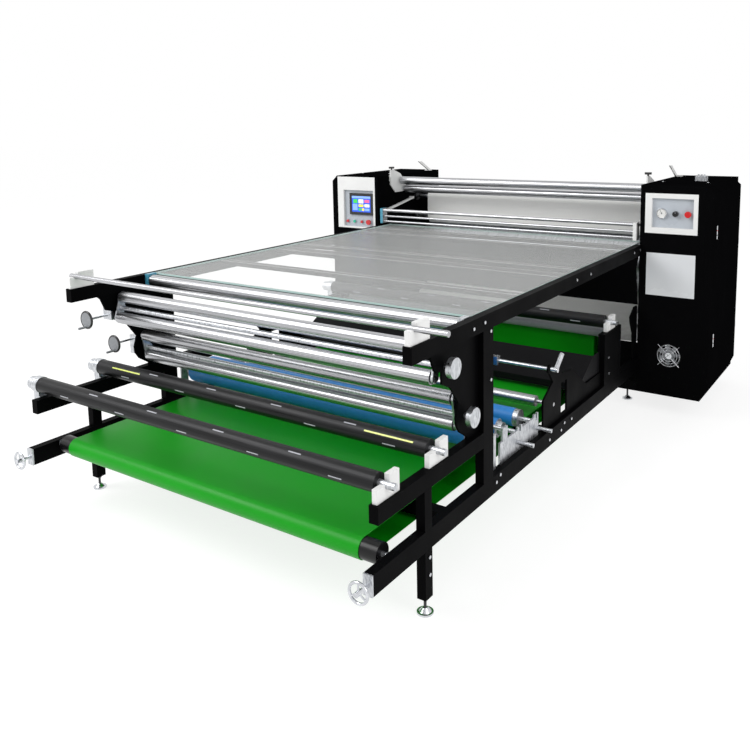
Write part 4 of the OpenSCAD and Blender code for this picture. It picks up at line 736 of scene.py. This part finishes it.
class HEATPRESS_OT_swing(bpy.types.Operator):
    """Dresses the swing frames, handwheels and the release lever"""
    bl_idname = "heatpress.swing"
    bl_label = "Swing Frames and Wheels"

    def execute(self, context):
        for part in ("front", "rear"):
            dressed(f"swing_frame_{part}", f"swing_frame_{part}_arms", 1.2, "cast_aluminium")
            dressed(f"swing_wheel_{part}", f"swing_handwheel_{part}", 0.6, "grey_abs", [
                ("black_abs", lambda c, lo, hi, n: math.hypot(c[0] + 1040,
                                                              c[2] - (lo[2] + hi[2]) / 2) > 38),
                ("polished_chrome", lambda c, lo, hi, n: c[1] > lo[1] + 60)])
        for side in ("left", "right"):
            dressed(f"belt_wheel_{side}", f"belt_handwheel_{side}", 0.5, "polished_chrome")
        dressed("release_lever", "release_lever_rod", 0.8, "polished_chrome")
        return {"FINISHED"}


class HEATPRESS_OT_guides(bpy.types.Operator):
    """Dresses the guide arms and rods over the drum and the air manifold"""
    bl_idname = "heatpress.guides"
    bl_label = "Guide Arms"

    def execute(self, context):
        dressed("guide_arms", "guide_arm_set", 1.0, "white_stove_enamel", [
            ("blue_green_enamel", lambda c, lo, hi, n: 2934 < c[1] < 2996 and -983 < c[0] < -959
             and lo[1] < 2940),
            ("hard_chrome", lambda c, lo, hi, n: abs(c[0]) < 960.2 and c[1] < 2975),
            ("cast_aluminium", lambda c, lo, hi, n: lo[0] > 1200),
            ("black_abs", lambda c, lo, hi, n: c[2] > 1440 and 3090 < c[1] < 3145 and abs(c[0]) < 1020)])
        return {"FINISHED"}


class HEATPRESS_OT_shafts(bpy.types.Operator):
    """Dresses the air shafts and adds their rubber strips and tapes"""
    bl_idname = "heatpress.shafts"
    bl_label = "Air Shafts"

    def execute(self, context):
        sizes = context.scene.heat_press_sizes
        for part in ("front", "second", "rear"):
            node = f"air_shaft_{part}"
            dressed(node, f"{node}_tube", 0.8, "black_anodised_aluminium", [
                ("cast_aluminium", lambda c, lo, hi, n: c[0] < SHAFT_LEFT - 0.2 or c[0] > SHAFT_RIGHT + 0.2)])
            y, z, _ = axle(node)
            strips = []
            for row in range(sizes.strip_rows):
                turn = FIRST_ROW_TURN + row * math.tau / sizes.strip_rows
                for k in range(-3, 4):
                    x = (k + (0 if row % 2 else 0.5)) * sizes.strip_pitch
                    if SHAFT_LEFT + SLOT_LENGTH < x < SHAFT_RIGHT - SLOT_LENGTH:
                        strips.append(self.strip("strip", x, y, z, turn, SLOT_LENGTH - 1, SLOT_WIDTH - 0.8,
                                                 "grey_rubber_strip", 0.25))
            for x, long in TAPES.get(part, ()):
                strips.append(self.strip("tape", x, y, z, TAPE_TURN, long, 7, "yellow_reflective_tape", 0.4))
            place(join(strips, f"{node}_strips"), node, SLOT_OF[node])
        return {"FINISHED"}

    def strip(self, name, x, y, z, turn, length, width, finish, proud):
        """A strip along the shaft, turned round its axis, that stands proud of the tube. x and sizes are in
        millimetres."""
        bpy.ops.object.select_all(action="DESELECT")
        bpy.ops.mesh.primitive_cube_add(size=1)
        piece = bpy.context.active_object
        thick = 2.0
        piece.scale = (length * MM, width * MM, thick * MM)
        bpy.ops.object.transform_apply(location=True, rotation=True, scale=True)
        low = SHAFT_RADIUS - thick + proud
        piece.matrix_world = (Matrix.Translation((x * MM, y, z)) @ Matrix.Rotation(turn, 4, "X")
                              @ Matrix.Translation((0, 0, (low + thick / 2) * MM)))
        settle(piece, name)
        piece.data.materials.append(finishes[finish])
        round_edges(piece, 0.8)
        return piece


class HEATPRESS_OT_belt(bpy.types.Operator):
    """Adds the collecting belt over its rollers"""
    bl_idname = "heatpress.belt"
    bl_label = "Collecting Belt"

    def execute(self, context):
        sizes = context.scene.heat_press_sizes
        gap, thick = sizes.band_gap, sizes.belt_thick
        circles = [(y, z, r + gap, 1) for y, z, r in (axle("belt_front_roller"), axle("belt_rear_roller"),
                                                      axle("belt_top_roller"))]
        circles.append((circles[2][0] - CORNER_BAR["before"], CORNER_BAR["height"],
                        CORNER_BAR["radius"] + gap + thick, -1))
        piece, length = band("collecting_belt", circles, thick, BAND_WIDTH, "green_pvc_belt")
        place(piece, "frame", SLOT_OF["conveyor_belt"], "conveyor_belt")
        return {"FINISHED"}


class HEATPRESS_OT_blanket(bpy.types.Operator):
    """Adds the felt blanket round the drum"""
    bl_idname = "heatpress.blanket"
    bl_label = "Felt Blanket"

    def execute(self, context):
        sizes = context.scene.heat_press_sizes
        gap, thick = sizes.band_gap, sizes.felt_thick
        circles = [(y, z, r + gap, 1) for y, z, r in (axle(n) for n in (
            "exit_roller", "lower_rear_roller", "tension_roller", "top_front_roller", "nip_roller"))]
        y, z, r = axle("drum")
        circles.append((y, z, r + gap + thick, -1))
        piece, length = band("felt_blanket", circles, thick, BAND_WIDTH, "needled_felt")
        place(piece, "frame", SLOT_OF["blanket"], "blanket")
        return {"FINISHED"}


class HEATPRESS_OT_panels(bpy.types.Operator):
    """Dresses the control panels, with finishes for their overlay films and screws, and dresses the buttons"""
    bl_idname = "heatpress.panels"
    bl_label = "Control Panels"

    def execute(self, context):
        dressed("control_panels", "control_panel_trays", 1.0, "white_stove_enamel", [
            ("polished_chrome", lambda c, lo, hi, n: hi[0] - lo[0] < 60),
            ("lacquered_aluminium", lambda c, lo, hi, n: hi[2] < 1040),
            ("silver_overlay_film", lambda c, lo, hi, n: 2945 < c[1] < 2956)])
        for node, finish in (("stop_button", "red_abs"), ("start_button", "green_abs"),
                             ("reset_button", "red_abs"), ("e_stop_left", "red_abs"),
                             ("e_stop_right", "red_abs")):
            dressed(node, node + "_cap", 1.2, finish)
        return {"FINISHED"}


class HEATPRESS_OT_screen(bpy.types.Operator):
    """Adds the touch screen, and the pressure gauge with its dial"""
    bl_idname = "heatpress.screen"
    bl_label = "Screen and Gauge"

    def execute(self, context):
        place(self.screen(), "frame", "display_glass", "panel_displays")
        place(self.gauge(), "frame", "display_glass", "panel_displays")
        return {"FINISHED"}

    def screen(self):
        """A bezel with a sunk screen and lit tiles."""
        bezel = slab("bezel", SCREEN_X, SCREEN_D, SCREEN_Z, "black_abs", 0)
        bpy.ops.object.mode_set(mode="EDIT")
        pick(bezel, lambda c, n: n.y < -0.9)
        bpy.ops.mesh.inset(thickness=SCREEN_RIM * MM)
        bpy.ops.mesh.extrude_region_move(TRANSFORM_OT_translate={"value": (0, 0.0015, 0)})
        bpy.ops.object.mode_set(mode="OBJECT")
        round_edges(bezel, 1.5)
        wide, tall = (side[1] - side[0] - 2 * SCREEN_RIM for side in (SCREEN_X, SCREEN_Z))
        # Each tile: left, low, right and top as shares of the lit face, and its colour
        tiles = [(0.0, 0.0, 1.0, 1.0, "lit_blue"), (0.0, 0.86, 1.0, 1.0, "lit_sky"),
                 (0.04, 0.1, 0.3, 0.5, "lit_sky"), (0.08, 0.55, 0.3, 0.8, "lit_green"),
                 (0.36, 0.55, 0.62, 0.8, "lit_white"), (0.68, 0.6, 0.94, 0.78, "lit_pink"),
                 (0.36, 0.32, 0.62, 0.48, "lit_yellow"), (0.68, 0.32, 0.94, 0.5, "lit_white"),
                 (0.36, 0.08, 0.5, 0.24, "lit_green"), (0.54, 0.08, 0.66, 0.24, "lit_yellow"),
                 (0.7, 0.08, 0.94, 0.24, "lit_sky")]
        pieces = [bezel]
        for i, (u0, v0, u1, v1, finish) in enumerate(tiles):
            x0, z0 = SCREEN_X[0] + SCREEN_RIM, SCREEN_Z[0] + SCREEN_RIM
            deep = 2942.3 - (0.15 if i else 0)
            pieces.append(slab("tile", (x0 + u0 * wide, x0 + u1 * wide), (deep - 0.2, deep),
                               (z0 + v0 * tall, z0 + v1 * tall), finish, 0))
        return join(pieces, "touch_screen")

    def gauge(self):
        """A round gauge: rim, dial, ticks, needle and clear cover."""
        x, z = GAUGE_X, GAUGE_Z
        rim = disc("rim", x, GAUGE_D, z, 32, "polished_chrome", 64, 0)
        bpy.ops.object.mode_set(mode="EDIT")
        pick(rim, lambda c, n: n.y < -0.9)
        bpy.ops.mesh.inset(thickness=0.003)
        bpy.ops.mesh.extrude_region_move(TRANSFORM_OT_translate={"value": (0, 0.005, 0)})
        bpy.ops.object.mode_set(mode="OBJECT")
        round_edges(rim, 0.8)
        pieces = [rim, disc("dial", x, (2943.2, 2943.8), z, 28.6, "white_dial_enamel", 64, 0)]
        for i in range(31):
            angle = math.radians(225 - i * 9)
            long = 5.0 if i % 5 == 0 else 2.6
            mid = 26.4 - long / 2
            tick = slab("tick", (-long / 2, long / 2), (2942.9, 2943.3), (-0.35, 0.35), "black_print", 0)
            tick.matrix_world = (Matrix.Translation(((x + mid * math.cos(angle)) * MM, 0,
                                                     (z + mid * math.sin(angle)) * MM))
                                 @ Matrix.Rotation(-angle, 4, "Y"))
            pieces.append(settle(tick, "tick"))
        needle = slab("needle", (-5, 21), (2942.2, 2942.6), (-0.9, 0.9), "black_print", 0)
        needle.matrix_world = (Matrix.Translation((x * MM, 0, z * MM))
                               @ Matrix.Rotation(-math.radians(118), 4, "Y"))
        pieces += [settle(needle, "needle"),
                   disc("hub", x, (2941.4, 2943.4), z, 3.2, "black_print", 24, 0.3),
                   disc("cover", x, (2939.8, 2940.6), z, 28.8, "clear_acrylic", 64, 0)]
        return join(pieces, "pressure_gauge")


class HEATPRESS_OT_knob(bpy.types.Operator):
    """Adds the fluted knob of the pressure regulator"""
    bl_idname = "heatpress.knob"
    bl_label = "Regulator Knob"

    def execute(self, context):
        low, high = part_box("regulator_knob")
        x, z, front = KNOB_X, KNOB_Z, (low.y - RAIL_FRONT) / MM
        knob = disc("regulator_knob_grip", x, (front, front + 26), z, 17, "black_abs", 48, 0)
        bpy.ops.object.mode_set(mode="EDIT")
        axis = Vector((x * MM, 0, z * MM))
        pick(knob, lambda c, n: abs(n.y) < 0.5 and round(
            math.degrees(math.atan2(c.z - axis.z, c.x - axis.x)) / 7.5 - 0.5) % 4 == 0)
        bpy.ops.mesh.inset(thickness=0.0007, use_individual=True)
        bpy.ops.transform.shrink_fatten(value=-0.0012)
        pick(knob, lambda c, n: n.y < -0.9)
        bpy.ops.mesh.inset(thickness=0.0022)
        bpy.ops.mesh.extrude_region_move(TRANSFORM_OT_translate={"value": (0, 0.0012, 0)})
        bpy.ops.object.mode_set(mode="OBJECT")
        round_edges(knob, 0.5)
        stem = disc("stem", x, (front + 25.5, (high.y - RAIL_FRONT) / MM), z, 4.9, "zinc_plated_steel", 32,
                    0.3)
        mark = slab("mark", (x - 0.9, x + 0.9), (front + 0.9, front + 1.5), (z + 4, z + 13),
                    "grey_rubber_strip", 0)
        place(join([knob, stem, mark], "regulator_knob_fluted"), "regulator_knob", "black_plastic",
              "regulator_knob")
        return {"FINISHED"}


class HEATPRESS_PT_panel(bpy.types.Panel):
    """The sidebar panel with all pieces"""
    bl_idname = "HEATPRESS_PT_panel"
    bl_label = "Heat Press"
    bl_space_type = "VIEW_3D"
    bl_region_type = "UI"
    bl_category = "Heat Press"

    def draw(self, context):
        for group in (context.scene.heat_press_sizes, context.scene.heat_press_studio):
            for name in group.bl_rna.properties.keys():
                if name not in ("rna_type", "name"):
                    self.layout.prop(group, name)
        for operator in OPERATORS:
            self.layout.operator(operator.bl_idname)


OPERATORS = (HEATPRESS_OT_stage, HEATPRESS_OT_frame, HEATPRESS_OT_housings, HEATPRESS_OT_cabinets,
             HEATPRESS_OT_rollers, HEATPRESS_OT_swing, HEATPRESS_OT_guides, HEATPRESS_OT_shafts,
             HEATPRESS_OT_belt, HEATPRESS_OT_blanket, HEATPRESS_OT_panels, HEATPRESS_OT_screen,
             HEATPRESS_OT_knob)
CLASSES = (HeatPressSizes, HeatPressStudio, *OPERATORS, HEATPRESS_PT_panel)


def register():
    for cls in CLASSES:
        bpy.utils.register_class(cls)
    bpy.types.Scene.heat_press_sizes = PointerProperty(type=HeatPressSizes)
    bpy.types.Scene.heat_press_studio = PointerProperty(type=HeatPressStudio)


def unregister():
    del bpy.types.Scene.heat_press_studio
    del bpy.types.Scene.heat_press_sizes
    for cls in reversed(CLASSES):
        bpy.utils.unregister_class(cls)


def main():
    register()
    make_finishes(bpy.context.scene.heat_press_sizes)
    bpy.ops.heatpress.stage()
    bpy.ops.heatpress.frame()
    bpy.ops.heatpress.housings()
    bpy.ops.heatpress.cabinets()
    bpy.ops.heatpress.rollers()
    bpy.ops.heatpress.swing()
    bpy.ops.heatpress.guides()
    bpy.ops.heatpress.shafts()
    bpy.ops.heatpress.belt()
    bpy.ops.heatpress.blanket()
    bpy.ops.heatpress.panels()
    bpy.ops.heatpress.screen()
    bpy.ops.heatpress.knob()
    bpy.context.view_layer.update()


if __name__ == "__main__":
    main()
